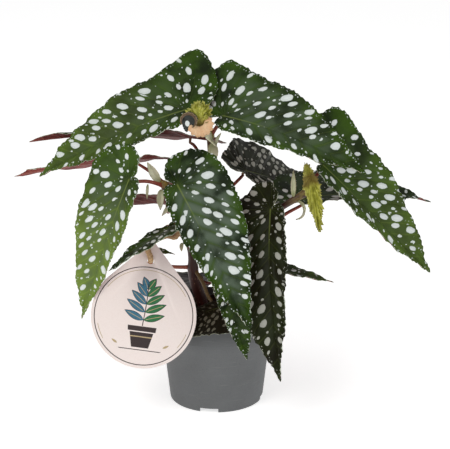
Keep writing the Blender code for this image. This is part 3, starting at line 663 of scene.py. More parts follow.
def leaf_face(look):
    g = Graph("leaf_face")
    x, y, rim = g.split(g.attribute("flat"))
    silver, pale, seed = g.split(g.attribute("tone"))
    wobble = g.noise(g.join(x, y, seed), 0.22, 2.0)
    fine = g.noise(g.join(x, y, seed), 1.3, 3.0)
    broad = g.noise(g.join(x, y, seed), 0.045)
    start, length, spread, ahead, out = flow_wires(g, x, y)
    half = g.math("GREATER_THAN", y, 0.0) * 41.0 + seed
    to_vein = g.math("PINGPONG", start, VEIN_STEP / 2) * spread
    between = g.step(to_vein, -1.6, 4.0)
    near_rib = 1 - g.step(out, 0.35, 1.3)

    # Greens
    deep = g.mix(g.step(broad + fine * 0.3, 0.45, 0.85), look.deep, look.green)
    fresh = g.most(pale, 0.0) * (0.06 + g.step(x, -5.0, 95.0) * 0.94)
    # Old and shaded: a pale below 0 darkens the green towards the shade green, partly the old leaf's own
    # colour and partly painted shade
    old = g.most(pale * -1, 0.0)
    green = g.mix(fresh * (0.6 + broad * 0.8), deep, look.fresh)
    green = g.mix(old, green, look.shade)
    # Silver sheen between the veins: partly the leaf's own silver colouring and partly a painted reflection
    # of the sky; less on the lobes, by the margin and on shaded leaves
    sheen = (0.35 + silver * 0.65) * between * g.step(broad + fine * 0.15, 0.32, 0.62)
    sheen = sheen * g.step(rim, 3.0, 15.0) * g.least(pale * 3 + 3, 1.0)
    sheen = sheen * (0.2 + g.step(x, -20.0, 30.0) * 0.8)
    green = g.mix(sheen * look.silver_share, green, g.mix(silver, look.dusk, look.silver))
    line = (1 - g.step(to_vein, 0.1, 0.9)) * (1 - g.step(length, 20.0, 60.0)) * (0.05 + fresh * 0.15)
    green = g.mix(line, green, look.rib)
    rib = near_rib * (1 - g.step(x, 3.0, 70.0)) * g.step(x, -3.0, 0.0) * (0.3 + fresh * 0.5)
    green = g.mix(rib, green, look.rib)

    # Spots: large ones between the veins, smaller ones among them, fine dots, and a row along the margin
    flow = (start, length, spread, ahead)
    rough = (wobble - 0.5) * 0.35 + (fine - 0.5) * 0.25
    room = g.least(spread * 1.6, 1.0) * g.step(out, 0.8, 5.0)
    room = room * (0.6 + g.step(rim, 0.5, 9.0) * 0.4) * g.step(length, 2.0, 12.0)
    far, chance, _ = spot_layer(g, flow, half, look.row, look.gap, look.spot, look.stretch, 0.55)
    large = (0.5 + chance * 0.55 + rough) * room - far
    away, chance, luck = spot_layer(g, flow, half + 0.5, look.row * 0.5, look.gap * 0.62,
                                    look.spot * 0.56, look.stretch * 0.85, 0.9)
    medium = (0.3 + chance * 0.6 + rough) * room * g.step(luck, 0.5, 0.52) - away
    medium = g.least(medium, (far - 1.45 * room) * 0.6)
    big = g.step(g.most(large, medium), 0.0, 0.14)
    moved = g.join(x + seed, y, 0.0)
    dot, chance, luck = g.dots(moved, look.dot_gap, 1.0)
    small = g.step(chance * 0.11 + 0.02 - dot, 0.0, 0.04) * g.step(luck, 0.5, 0.52)
    hem, chance, _ = g.dots(moved, look.hem_gap, 0.9)
    hem = g.step(0.06 + chance * 0.2 - hem, 0.0, 0.06) * (1 - g.step(rim, 2.2, 3.8)) * g.step(rim, 0.2, 0.6)
    # On the darkest leaves the spots are dimmed too, which is painted shade
    white = g.most(g.most(big, small * 0.85), hem * 0.75) * g.least(pale * 2 + 3, 1.0)
    edging = (1 - g.step(rim, 0.1, 0.5)) * 0.3
    tint = g.mix(g.step(far, 0.0, 0.9) * 0.5, look.white, look.white_edge)
    # Spots of old and shaded leaves take the greyer old-spot colour, partly painted shade
    tint = g.mix(old * 0.8, tint, look.white_old_and_shaded)
    colour = g.mix(edging, green, look.edging)
    colour = g.mix(white, colour, tint)

    quilted = g.math("SINE", to_vein * 0.35) * 0.7 + fine * 0.22 - near_rib * 0.5 + white * 0.05
    normal = g.bump(quilted, 0.7 * MM, 0.6)
    glossy = 0.4 + fine * 0.16 + white * 0.1
    return g.finish(Base_Color=colour, Roughness=glossy, Normal=normal, Specular_IOR_Level=0.15)


def leaf_underside(look):
    g = Graph("leaf_underside")
    x, y, _ = g.split(g.attribute("flat"))
    _, pale, seed = g.split(g.attribute("tone"))
    wobble = g.noise(g.join(x, y, seed), 0.12, 3.0)
    start, _, spread, _, out = flow_wires(g, x, y)
    to_vein = g.math("PINGPONG", start, VEIN_STEP / 2) * spread
    vein = g.most(1 - g.step(to_vein, 0.3, 1.2), 1 - g.step(out, 0.6, 1.8))
    colour = g.mix(g.step(wobble, 0.3, 0.7), look.under_dark, look.under)
    # Old and shaded undersides go dark: partly old colour, partly painted shade on leaves that lie in shade,
    # such as leaf_back_low_left
    colour = g.mix(g.most(pale * -1, 0.0), colour, look.under_old_and_shaded)
    colour = g.mix(vein * 0.5 * g.least(pale + 1, 1.0), colour, look.under_vein)
    normal = g.bump(vein + wobble * 0.3, 0.6 * MM, 0.6)
    return g.finish(Base_Color=colour, Roughness=0.55, Normal=normal, Specular_IOR_Level=0.15)


def mottled(name, colour, layers, roughness, relief=None):
    """A finish of one colour with others over it where a noise is high. Each layer is the noise's scale,
    detail and roughness, the two ends of the step, its share and its colour. The first one's noise makes
    the relief, given as a depth in millimetres and a strength."""
    g = Graph(name)
    noises = [g.noise(g.place(), *noise) for noise, _, _, _ in layers]
    for noise, (_, ends, share, other) in zip(noises, layers):
        colour = g.mix(g.step(noise, *ends) * share, colour, other)
    inputs = {"Normal": g.bump(noises[0], relief[0] * MM, relief[1])} if relief else {}
    return g.finish(Base_Color=colour, Roughness=roughness, **inputs)


def leaf_edge():
    layers = [((260.0,), (0.4, 0.6), 1.0, paint(205, 215, 195))]
    return mottled("leaf_margin", paint(150, 150, 120), layers, 0.6)


def young_finish(look):
    g = Graph("young_leaf_face")
    x, y, rim = g.split(g.attribute("flat"))
    wobble = g.noise(g.place(), 180.0, 3.0)
    start, _, spread, _, _ = flow_wires(g, x * 2.4, y * 2.4)
    vein = 1 - g.step(g.math("PINGPONG", start, VEIN_STEP / 2) * spread, 0.4, 2.2)
    colour = g.mix(g.step(wobble, 0.35, 0.7), look.young, look.young_light)
    colour = g.mix(vein * 0.4, colour, look.young_vein)
    colour = g.mix((1 - g.step(rim, 0.2, 1.6)) * 0.35, colour, look.young_edge)
    heart = (1 - g.step(x + wobble * 6, 8.0, 17.0)) * g.step(x, -7.0, 1.0)
    colour = g.mix(heart * look.young_heart, colour, look.young_inside)
    normal = g.bump(wobble - vein * 0.4, 0.6 * MM, 0.7)
    return g.finish(Base_Color=colour, Roughness=0.48, Normal=normal)


def fold_finish(look):
    g = Graph("young_leaf_fold_face")
    place = g.place()
    wobble = g.noise(place, 150.0, 3.0)
    x, _, z = g.split(place)
    aside = (x - FOLD_SPOT[0] * MM) / (FOLD_SPOT[2] * MM)
    above = (z - FOLD_SPOT[1] * MM) / (FOLD_SPOT[3] * MM)
    far = g.math("SQRT", aside * aside + above * above) + (wobble - 0.5) * 0.5
    colour = g.mix(g.step(wobble, 0.35, 0.65), paint(20, 26, 20), paint(50, 60, 56))
    colour = g.mix(1 - g.step(far, 0.85, 1.1), colour, look.white)
    return g.finish(Base_Color=colour, Roughness=0.45, Normal=g.bump(wobble, 0.6 * MM, 0.6))


def bract_finish(name, light, dark, streak=0.35, green=0.55):
    g = Graph(name)
    x, y, rim = g.split(g.attribute("flat"))
    wobble = g.noise(g.place(), 120.0, 3.0)
    lines = g.noise(g.join(x * 0.06, y * 1.6, 0.0), 1.0, 2.0)
    colour = g.mix(g.step(wobble, 0.3, 0.75), light, dark)
    colour = g.mix(g.step(lines, 0.5, 0.72) * streak, colour, paint(168, 178, 120))
    colour = g.mix((1 - g.step(rim, 0.1, 0.9)) * 0.4, colour, paint(205, 180, 140))
    colour = g.mix((1 - g.step(x, 0.0, 8.0)) * green, colour, paint(128, 140, 70))
    normal = g.bump(lines, 0.35 * MM, 0.5)
    return g.finish(Base_Color=colour, Roughness=0.55, Normal=normal)


# ---------------------------------------------------------------- settings


def length_prop(name, text, default, low, high):
    return FloatProperty(name=name, description=text, default=default * MM, min=low * MM, max=high * MM,
                         subtype="DISTANCE", unit="LENGTH")


def number_prop(name, text, default, **more):
    return FloatProperty(name=name, description=text, default=default, **more)


def count_prop(name, text, default, **more):
    return IntProperty(name=name, description=text, default=default, **more)


def tint_prop(name, text, *screen):
    return FloatVectorProperty(name=name, description=text, default=paint(*screen), min=0, max=1, size=3,
                               subtype="COLOR")


class LeafSettings(bpy.types.PropertyGroup):
    """Sizes in millimetres on the flat leaf, and the colours of the leaves."""

    thickness: number_prop("Thickness", "Thickness of a leaf, in mm", 0.6)
    lobes: count_prop("Lobes", "Number of shallow lobes round the margin", 26)
    ruffles: count_prop("Ruffles", "Number of small waves round the margin", 19)
    quilt: number_prop("Quilting", "Rise between two veins, in mm", 0.9)
    row: number_prop("Spot rows", "Distance between rows of spots, in mm", 17.0)
    gap: number_prop("Spot gap", "Distance between the spots of a row, in mm", 17.5)
    spot: number_prop("Spot", "Half the width of a large spot, in mm", 4.1)
    stretch: number_prop("Spot stretch", "A spot's length over its width", 1.6)
    dot_gap: number_prop("Dot gap", "Distance between small dots, in mm", 8.5)
    hem_gap: number_prop("Hem gap", "Distance between the dots along the margin, in mm", 3.4)
    # Silver share, Dusky green and Silver make the sheen between the veins, partly silver colouring and
    # partly a painted reflection of the sky
    silver_share: number_prop("Silver share", "How strong the silver sheen is", 0.75)
    deep: tint_prop("Deep green", "The darker green", 16, 31, 4)
    green: tint_prop("Green", "The leaf's green", 54, 82, 10)
    fresh: tint_prop("Fresh green", "The green of a fresh leaf", 118, 142, 60)
    # Shade green, the old spots and the old underside are partly the colours of old leaves and partly painted
    # shade on leaves that lie in shade
    shade: tint_prop("Shade green", "The green of an old leaf", 24, 20, 6)
    dusk: tint_prop("Dusky green", "The dull green between the veins", 50, 62, 30)
    silver: tint_prop("Silver", "The sheen between the veins", 98, 111, 98)
    rib: tint_prop("Rib", "The midrib by the petiole", 160, 176, 90)
    white: tint_prop("Spots", "The middle of a spot", 232, 238, 236)
    white_edge: tint_prop("Spot edges", "The edge of a spot", 205, 216, 210)
    white_old_and_shaded: tint_prop("Old spots", "The spots of an old leaf", 142, 138, 120)
    edging: tint_prop("Edging", "The thin line round the leaf", 178, 192, 165)
    under: tint_prop("Underside", "The leaf's underside", 138, 66, 60)
    under_dark: tint_prop("Underside, dark", "The darker red below", 104, 44, 42)
    under_old_and_shaded: tint_prop("Underside, old", "The underside of an old leaf", 24, 12, 10)
    under_vein: tint_prop("Underside veins", "The raised veins below", 160, 92, 78)
    young: tint_prop("Young green", "A young leaf", 150, 150, 42)
    young_light: tint_prop("Young green, light", "A young leaf where it is lit through", 205, 205, 92)
    young_vein: tint_prop("Young veins", "The veins of a young leaf", 120, 128, 40)
    young_edge: tint_prop("Young edge", "The margin of a young leaf", 214, 206, 128)
    young_heart: number_prop("Young heart", "How brown a young leaf is by its stalk", 0.8)
    young_inside: tint_prop("Young inside", "The brown by the stalk of a young leaf", 112, 88, 34)
    sheath: tint_prop("Sheath", "The peach-coloured sheath round the youngest leaf", 236, 200, 160)


class PotSettings(bpy.types.PropertyGroup):
    """The nursery pot and its soil."""

    sides: count_prop("Sides", "Facets round the pot", 128, min=32, max=256)
    colour: tint_prop("Plastic", "The pot's recycled plastic", 97, 99, 100)
    speck: tint_prop("Specks", "Darker specks in the plastic", 80, 82, 84)
    soil: tint_prop("Soil", "Wet potting soil", 34, 24, 18)
    soil_light: tint_prop("Fibres", "Lighter fibres in the soil", 84, 60, 42)
    grains: count_prop("Grains", "Loose crumbs and grit on the soil", 620)


class StemSettings(bpy.types.PropertyGroup):
    """Canes and petioles."""

    sides: count_prop("Sides", "Facets round a stem", 16, min=8, max=32)
    spacing: length_prop("Spacing", "Distance between two rings of a stem", 2.2, 1, 9)
    swelling: number_prop("Swelling", "How far a joint stands out, in mm", 0.55)
    cane: tint_prop("Cane", "Old cane", 62, 27, 21)
    petiole: tint_prop("Petiole", "Leaf stalk", 140, 62, 46)
    fresh: tint_prop("Fresh", "Fresh growth at a joint", 150, 130, 62)
    olive: tint_prop("Olive", "A petiole low in the plant", 92, 88, 40)
    blush: tint_prop("Blush", "A pink petiole", 214, 140, 116)


class TagSettings(bpy.types.PropertyGroup):
    """The card tag, its printed design and its twine."""

    paper: tint_prop("Card", "The tag's card", 246, 233, 228)
    ink: tint_prop("Ink", "The dark ink", 58, 44, 44)
    teal: tint_prop("Teal", "The teal ink", 62, 122, 148)
    green: tint_prop("Green", "The green ink", 44, 122, 70)
    gold: tint_prop("Gold", "The pale gold line", 205, 182, 138)
    twine: tint_prop("Twine", "The twine's fibres", 214, 184, 142)
    ply_turn: length_prop("Lay of the twine", "Length of one turn of its plies", 5.0, 2, 20)


class StageSettings(bpy.types.PropertyGroup):
    """The camera, the light and the floor."""

    distance: number_prop("Distance", "From the camera to its target", 1.5, subtype="DISTANCE", unit="LENGTH")
    elevation: number_prop("Elevation", "The camera's height above the horizon", math.radians(16.9),
                           subtype="ANGLE", unit="ROTATION")
    lens: number_prop("Lens", "Focal length in mm", 116.4)
    key: number_prop("Key light", "Power of the main light, in W", 15.0)
    fill: number_prop("Fill light", "Power of the fill light, in W", 3.0)
    sky: number_prop("Sky", "Brightness of the light from all round", 0.36)


SETTINGS = {"begonia_leaf": LeafSettings, "begonia_pot": PotSettings, "begonia_stem": StemSettings,
            "begonia_tag": TagSettings, "begonia_stage": StageSettings}


# ---------------------------------------------------------------- pieces


class BEGONIA_OT_leaves(bpy.types.Operator):
    """Adds the spotted leaves"""

    bl_idname = "begonia.leaves"
    bl_label = "Leaves"

    def execute(self, context):
        look = context.scene.begonia_leaf
        finishes = leaf_face(look), leaf_underside(look), leaf_edge()
        for name, spec in LEAVES.items():
            blade = shaped_blade(name + "_blade", spec, leaf_outline, FINER_LEAF, LEAF_RINGS[spec.spokes],
                                 look, finishes)
            keep(blade, "leaf", name)
        return {"FINISHED"}


class BEGONIA_OT_young_leaves(bpy.types.Operator):
    """Adds the two young leaves"""

    bl_idname = "begonia.young_leaves"
    bl_label = "Young leaves"

    def execute(self, context):
        look = context.scene.begonia_leaf
        finish = young_finish(look)
        for name, spec in YOUNG_LEAVES.items():
            blade = shaped_blade(name + "_blade", spec, leaf_outline, FINER_LEAF, YOUNG_RINGS, look,
                                 (finish,) * 3)
            keep(blade, "young_leaf", name)
        peach = bract_finish("sheath_face", look.sheath, paint(222, 172, 128), 0.08, 0.0)
        brown = bract_finish("rim_face", paint(112, 88, 64), paint(78, 58, 42), 0.1, 0.0)
        cups = (("lip", CUP_LOWER, peach), ("cup", CUP_UPPER, finish), ("rim", FOLD_RIM, brown))
        for name, shape, face in cups:
            keep(self.cup("young_leaf_" + name, shape, face), "young_leaf")
        fold = shaped_blade("young_leaf_fold", FOLDED_LEAF, leaf_outline, FINER_LEAF, FOLD_RINGS, look,
                            (fold_finish(look),) * 3)
        keep(fold, "young_leaf")
        return {"FINISHED"}

    def cup(self, name, shape, finish):
        """A ruffled crescent that opens to the front."""
        (x, y, z), (start, end), (inside, outside), frill, dish = shape
        cup = named(added("grid", x_subdivisions=CUP_STEPS, y_subdivisions=CUP_RINGS, size=1), name)
        along, out = coordinates(cup.data)[:, :2].T + 0.5
        angle = np.radians(start + (end - start) * along)
        ends = np.sin(np.pi * along) ** 0.35
        wave = np.sin(math.tau * 9 * along) * 0.6 + np.sin(math.tau * 23 * along) * 0.35
        radius = inside + (outside - inside) * out * ends + wave * out**2 * frill
        depth = dish * np.sin(np.pi * (0.15 + 0.6 * out)) * ends + wave * out * 1.1
        points = np.column_stack([x + radius * np.cos(angle), y + depth, z + radius * np.sin(angle)])
        set_coordinates(cup.data, points * MM)
        to_edge = (1 - out) * (outside - inside)
        set_attribute(cup.data, "flat", np.column_stack([20 + radius, along * 30, to_edge]))
        cup.data.shade_smooth()
        return modified(placed(cup, finish), "SOLIDIFY", thickness=CUP_THICKNESS * MM)


class BEGONIA_OT_bracts(bpy.types.Operator):
    """Adds the papery bracts and the bud sheath"""

    bl_idname = "begonia.bracts"
    bl_label = "Bracts"

    def execute(self, context):
        look = context.scene.begonia_leaf
        pale = bract_finish("bract_face", paint(232, 232, 206), paint(204, 208, 166))
        for name, spec in BRACTS.items():
            scale = shaped_blade(name + "_scale", spec, bract_outline, FINER_BRACT, BRACT_RINGS, look,
                                 (pale,) * 3)
            keep(scale, "bract", name)
        return {"FINISHED"}


def smooth_stations(stations, spacing):
    curve = catmull_rom(stations, 12)
    length = np.linalg.norm(np.diff(curve[:, :3], axis=0), axis=1).sum()
    return evenly(curve, max(4, round(length / spacing)))


def petiole_stations(leaf, route, spacing):
    """From inside the cane along the route to just under the blade, arriving square to it."""
    points = [*route, leaf.under(PETIOLE_NECK)]
    radii = np.linspace(PETIOLE_ROOT, PETIOLE_TIP, len(points))
    stations = smooth_stations([(*point, radius) for point, radius in zip(points, radii)], spacing)
    return np.array([*stations, (*leaf.under(BLADE_GAP), PETIOLE_TIP)])


def marked_tube(name, stations, kind, sides, green=0.0):
    """A tube whose points know how far along the stem they are."""
    obj = tube(name, stations, sides)
    points = coordinates(obj.data) / MM
    nearest = np.argmin(np.linalg.norm(points[:, None] - stations[None, :, :3], axis=2), axis=1)
    along = nearest / (len(stations) - 1)
    set_attribute(obj.data, "stem", [(share, kind, green) for share in along])
    return obj


def stem_finish(look):
    g = Graph("stem_skin")
    along, kind, olive = g.split(g.attribute("stem"))
    streaks = g.noise(g.place(900.0, 900.0, 90.0), 1.0)
    blotch = g.noise(g.place(), 140.0, 3.0)
    pores = g.cells(g.place(420.0, 420.0, 160.0), 1.0)
    colour = g.mix(kind, look.cane, look.petiole)
    fresh = g.step(along, 0.86, 1.0) * 0.5 + (1 - kind) * g.step(along, 0.8, 0.95) * 0.5
    colour = g.mix(fresh * g.step(blotch, 0.3, 0.6), colour, look.fresh)
    colour = g.mix(g.most(olive, 0.0), colour, look.olive)
    colour = g.mix(g.most(olive * -1, 0.0), colour, look.blush)
    colour = g.mix(g.step(streaks, 0.45, 0.75) * 0.35, colour, paint(96, 40, 32))
    colour = g.mix((1 - g.step(pores, 0.1, 0.2)) * 0.45, colour, paint(190, 150, 112))
    normal = g.bump(streaks * 0.5 - pores * 0.2 + blotch * 0.4, 0.4 * MM, 0.5)
    return g.finish(Base_Color=colour, Roughness=0.36 + blotch * 0.2, Normal=normal)


class BEGONIA_OT_canes(bpy.types.Operator):
    """Adds the three canes with their petioles"""

    bl_idname = "begonia.canes"
    bl_label = "Canes"

    def execute(self, context):
        look = context.scene.begonia_stem
        skin = stem_finish(look)
        blades = {**LEAVES, **YOUNG_LEAVES}
        for name, (cane, petioles) in CANES.items():
            spacing = look.spacing / MM
            trunk = smooth_stations(cane, spacing)
            for root in {route[0] for _, route in petioles}:
                away = np.linalg.norm(trunk[:, :3] - np.array(root), axis=1)
                trunk[:, 3] += look.swelling * np.exp(-(away / JOINT_REACH) ** 2)
            tubes = [marked_tube(name + "_skin", trunk, 0, look.sides)]
            for leaf, route in petioles:
                stations = petiole_stations(blades[leaf], route, spacing)
                away = np.linalg.norm(stations[:, :3] - stations[0, :3], axis=1)
                stations[:, 3] += ROOT_SWELLING * np.exp(-(away / ROOT_REACH) ** 2)
                tubes.append(marked_tube("petiole", stations, 1, look.sides, OLIVE_PETIOLES.get(leaf, 0)))
            plant = joined(tubes, name + "_skin")
            plant.data.shade_smooth()
            keep(placed(smoothed(plant, 50), skin), "stem", name)
        return {"FINISHED"}


def pot_radius(z):
    return POT_FOOT + (POT_SHOULDER - POT_FOOT) * z / (POT_HEIGHT - COLLAR_HEIGHT)


def pot_inside(z):
    top = POT_HEIGHT - COLLAR_HEIGHT
    if z <= top:
        return pot_radius(z) - POT_WALL
    return POT_RIM - POT_WALL - (POT_HEIGHT - z) / COLLAR_HEIGHT * 1.4


def turned(name, profile, sides):
    """A ring grown through a profile of (radius, height) by extruding and scaling, as on a lathe."""
    (radius, height), *rest = [(max(r, 0.02) * MM, z * MM) for r, z in profile]
    obj = named(added("circle", vertices=sides, radius=radius, location=(0, 0, height)), name)
    bpy.ops.object.transform_apply(location=True, rotation=True, scale=True)
    bpy.ops.object.mode_set(mode="EDIT")
    bpy.ops.mesh.select_all(action="SELECT")
    bpy.ops.mesh.edge_face_add()
    bpy.ops.mesh.select_mode(type="EDGE")
    bpy.ops.mesh.delete(type="ONLY_FACE")
    bpy.ops.mesh.select_all(action="SELECT")
    for next_radius, next_height in rest:
        bpy.ops.mesh.extrude_region_move(TRANSFORM_OT_translate={"value": (0, 0, next_height - height)})
        grow = next_radius / radius
        bpy.ops.transform.resize(value=(grow, grow, 1), center_override=(0, 0, next_height))
        radius, height = next_radius, next_height
    bpy.ops.mesh.select_all(action="SELECT")
    bpy.ops.mesh.remove_doubles(threshold=SAME_POINT * MM)
    bpy.ops.mesh.select_all(action="DESELECT")
    bpy.ops.mesh.select_non_manifold()
    bpy.ops.mesh.edge_face_add()
    bpy.ops.mesh.select_all(action="SELECT")
    bpy.ops.mesh.normals_make_consistent(inside=False)
    bpy.ops.object.mode_set(mode="OBJECT")
    return obj


def pot_finish(look):
    g = Graph("recycled_plastic")
    place = g.place()
    _, _, z = g.split(place)
    specks = g.noise(place, 900.0, 3.0, 0.7)
    cloud = g.noise(place, 38.0, 3.0)
    scuffs = g.noise(g.place(60.0, 60.0, 900.0), 1.0)
    colour = g.mix(g.step(specks, 0.5, 0.72) * 0.55, look.colour, look.speck)
    colour = g.mix(g.step(cloud, 0.4, 0.8) * 0.25, colour, paint(112, 115, 117))
    # Painted shade: the pot darker from 66 mm up to the collar's top, where the leaves and the tag shade it;
    # it runs all round the pot
    colour = g.mix(g.step(z, 66 * MM, 88 * MM) * 0.35, colour, paint(56, 58, 59))
    dust = g.step(scuffs, 0.58, 0.75) * 0.16
    colour = g.mix(dust, colour, paint(140, 142, 142))
    normal = g.bump(specks * 0.6 + scuffs * 0.4, 0.12 * MM, 0.5)
    return g.finish(Base_Color=colour, Roughness=0.5 + specks * 0.2, Normal=normal,
                    Specular_IOR_Level=0.4)


def spread_round(count, start, radius):
    """The angle, x and y of this many places on a circle, from a start angle in degrees."""
    angles = [math.radians(start) + math.tau * i / count for i in range(count)]
    return [(angle, radius * math.cos(angle), radius * math.sin(angle)) for angle in angles]


class BEGONIA_OT_pot(bpy.types.Operator):
    """Adds the nursery pot"""

    bl_idname = "begonia.pot"
    bl_label = "Pot"

    def execute(self, context):
        look = context.scene.begonia_pot
        top = POT_HEIGHT - COLLAR_HEIGHT
        floor = FOOT_HEIGHT + POT_WALL
        rim = POT_RIM - POT_WALL
        bead = [(rim + RIM_BEAD * (1 - math.cos(a)), POT_HEIGHT - RIM_BEAD + RIM_BEAD * math.sin(a))
                for a in np.linspace(0, math.pi, 9)]
        profile = [
            (0, floor), (pot_inside(floor) - 1, floor), (pot_inside(floor), floor + 1),
            (pot_inside(top), top), (pot_inside(top + 2), top + 2), *bead,
            (POT_RIM - 0.5, POT_HEIGHT - 9), (POT_RIM - 1, top + 0.8),
            (POT_RIM - 1.15, top + 0.35), (POT_RIM - 1.5, top), (pot_radius(top) + 0.3, top - 0.1),
            (pot_radius(top), top - 0.6), (pot_radius(top / 2), top / 2), (pot_radius(2.5), 2.5),
            (pot_radius(1) - 0.1, 0.9), (POT_FOOT - 0.3, 0.3), (POT_FOOT - 0.8, 0),
            (POT_FOOT - FOOT_WIDTH, 0), (POT_FOOT - FOOT_WIDTH - 0.4, FOOT_HEIGHT),
            (PAD_RADIUS + 1, FOOT_HEIGHT), (PAD_RADIUS, 0), (0, 0),
        ]
        pot = turned("pot_shell", profile, look.sides)
        for _, x, y in spread_round(DRAINS, DRAIN_START, DRAIN_CIRCLE):
            drilled(pot, DRAIN_RADIUS, 4 * FOOT_HEIGHT, (x, y, floor))
        for angle, x, y in spread_round(NOTCHES, NOTCH_START, POT_FOOT):
            notch = added("cube", size=1, rotation=(0, 0, angle), location=(x * MM, y * MM, 0))
            notch.scale = (4 * FOOT_WIDTH * MM, NOTCH_WIDTH * MM, 2 * NOTCH_HEIGHT * MM)
            bpy.ops.object.transform_apply(location=False, rotation=False, scale=True)
            cut_with(pot, notch)
        keep(placed(smoothed(pot, 35), pot_finish(look)), "pot", "pot")
        return {"FINISHED"}


def soil_height(radius, edge):
    """The height of the soil's dome at this distance from its middle."""
    return SOIL_LEVEL + SOIL_DOME * (1 - (radius / edge) ** 2)


def soil_finish(look):
    g = Graph("potting_soil")
    crumbs = g.cells(g.place(), 420.0)
    fibres = g.noise(g.place(1.0, 3.0, 1.0), 520.0, 4.0, 0.7)
    colour = g.mix(g.step(fibres, 0.45, 0.7), look.soil, look.soil_light)
    colour = g.mix(1 - g.step(crumbs, 0.05, 0.4), colour, paint(20, 14, 10))
    normal = g.bump(crumbs + fibres, 1.2 * MM, 1.0)
    return g.finish(Base_Color=colour, Roughness=0.95, Normal=normal, Specular_IOR_Level=0.2)


def grain_finish(name, light, dark):
    layers = [((600.0, 3.0), (0.35, 0.65), 1.0, light), ((60.0,), (0.45, 0.7), 0.5, dark)]
    return mottled(name, dark, layers, 0.9, (0.3, 1.0))


class BEGONIA_OT_soil(bpy.types.Operator):
    """Adds the soil with its crumbs, bark and grit"""

    bl_idname = "begonia.soil"
    bl_label = "Soil"

    def execute(self, context):
        look = context.scene.begonia_pot
        top = POT_HEIGHT - COLLAR_HEIGHT
        bottom = FOOT_HEIGHT + POT_WALL + SOIL_GAP
        edge = pot_inside(SOIL_LEVEL) - SOIL_GAP
        rings = [edge * share for share in np.linspace(0, 1, SOIL_RINGS + 1)[1:]]
        profile = [(r, soil_height(r, edge)) for r in (0, *rings)]
        profile += [(pot_inside(z) - SOIL_GAP, z) for z in (top + 2, top, bottom)]
        profile += [(0, bottom)]
        soil = turned("soil_body", profile, SOIL_SIDES)
        rng = np.random.default_rng(SOIL_SEED)
        waves = rng.normal(size=(SOIL_WAVES, 2)) * 260
        phases = rng.random(SOIL_WAVES) * math.tau
        points = coordinates(soil.data)
        upper = points[:, 2] > (SOIL_LEVEL - 0.5) * MM
        bumps = sum(np.sin(points[:, :2] @ wave + phase) for wave, phase in zip(waves, phases)) / SOIL_WAVES
        rough = rng.random(len(points)) - 0.5
        fade = np.clip((edge * MM - np.hypot(points[:, 0], points[:, 1])) / (3 * MM), 0, 1)
        points[:, 2] += upper * fade * (bumps * 3.2 + rough * 0.9) * MM
        set_coordinates(soil.data, points)
        for cane, _ in CANES.values():
            x, y, z, radius = cane[0]
            drilled(soil, radius + CANE_GAP, CANE_HOLE, (x, y, z - SOIL_GAP + CANE_HOLE / 2))
        keep(placed(smoothed(soil, 80), soil_finish(look)), "soil", "soil")
        self.add_grains(look, rng, edge)
        return {"FINISHED"}

    def add_grains(self, look, rng, edge):
        """Crumbs of bark and grit of perlite, each kind in one piece."""
        feet = [np.array(cane[0][:2]) for cane, _ in CANES.values()]
        kinds = (
            ("bark", 0.62, (0.8, 2.6), paint(78, 52, 36), paint(34, 24, 18)),
            ("grit", 0.38, (0.5, 1.4), paint(214, 208, 192), paint(160, 148, 126)),
        )
        for kind, share, (least, most), *colours in kinds:
            grains = added("ico_sphere", subdivisions=1, radius=MM)
            shape, faces = coordinates(grains.data), [tuple(f.vertices) for f in grains.data.polygons]
            verts, polygons = [], []
            for _ in range(int(look.grains * share)):
                spot = (rng.random(2) * 2 - 1) * edge
                size = least + (most - least) * rng.random() ** 2.2
                to_cane = min(np.linalg.norm(spot - foot) for foot in feet)
                if np.hypot(*spot) > edge - size - 0.6 or to_cane < 7 + size:
                    continue
                height = soil_height(np.hypot(*spot), edge) + size * 0.15
                turn = np.array(Matrix.Rotation(rng.random() * math.tau, 3, Vector(rng.normal(size=3))))
                stretch = np.array((1.0, 0.4 + 0.5 * rng.random(), 0.35 + 0.4 * rng.random()))
                jitter = 1 + 0.3 * (rng.random((len(shape), 1)) - 0.5)
                grain = (shape * jitter * stretch * size) @ turn.T + np.array((*spot, height)) * MM
                polygons += [tuple(i + len(verts) for i in face) for face in faces]
                verts += [tuple(p) for p in grain]
            grains.data = bpy.data.meshes.new(kind)
            grains.data.from_pydata(verts, [], polygons)
            named(grains, "soil_" + kind)
            keep(placed(smoothed(grains, 40), grain_finish(kind, *colours)), "soil")


def tag_matrix():
    """From the tag's own plane, with its point at +Y and its face at +Z, to its hanging place."""
    swing = Matrix.Rotation(math.radians(-TAG_SWING), 4, "Z")
    lean = Matrix.Rotation(math.radians(90 - TAG_LEAN), 4, "X")
    return Matrix.Translation(Vector(TAG_CENTRE) * MM) @ lean @ swing


def flat_shape(points, height, thickness):
    """A plate of this outline, in millimetres on the tag's plane, with its underside at this height."""
    obj = added("circle", vertices=len(points), radius=1, fill_type="NGON")
    set_coordinates(obj.data, [(x * MM, y * MM, height * MM) for x, y in points])
    bpy.ops.object.mode_set(mode="EDIT")
    bpy.ops.mesh.select_all(action="SELECT")
    bpy.ops.mesh.normals_make_consistent(inside=False)
    bpy.ops.mesh.extrude_region_move(TRANSFORM_OT_translate={"value": (0, 0, thickness * MM)})
    bpy.ops.mesh.select_all(action="SELECT")
    bpy.ops.mesh.normals_make_consistent(inside=False)
    bpy.ops.object.mode_set(mode="OBJECT")
    return obj


def ring_strip(radius, width, start, end, count):
    """The outline of a stretch of ring, angles in degrees."""
    angles = np.radians(np.linspace(start, end, count))
    outer, inner = ([(r * math.cos(a), r * math.sin(a)) for a in angles]
                    for r in (radius + width / 2, radius - width / 2))
    return outer + inner[::-1]


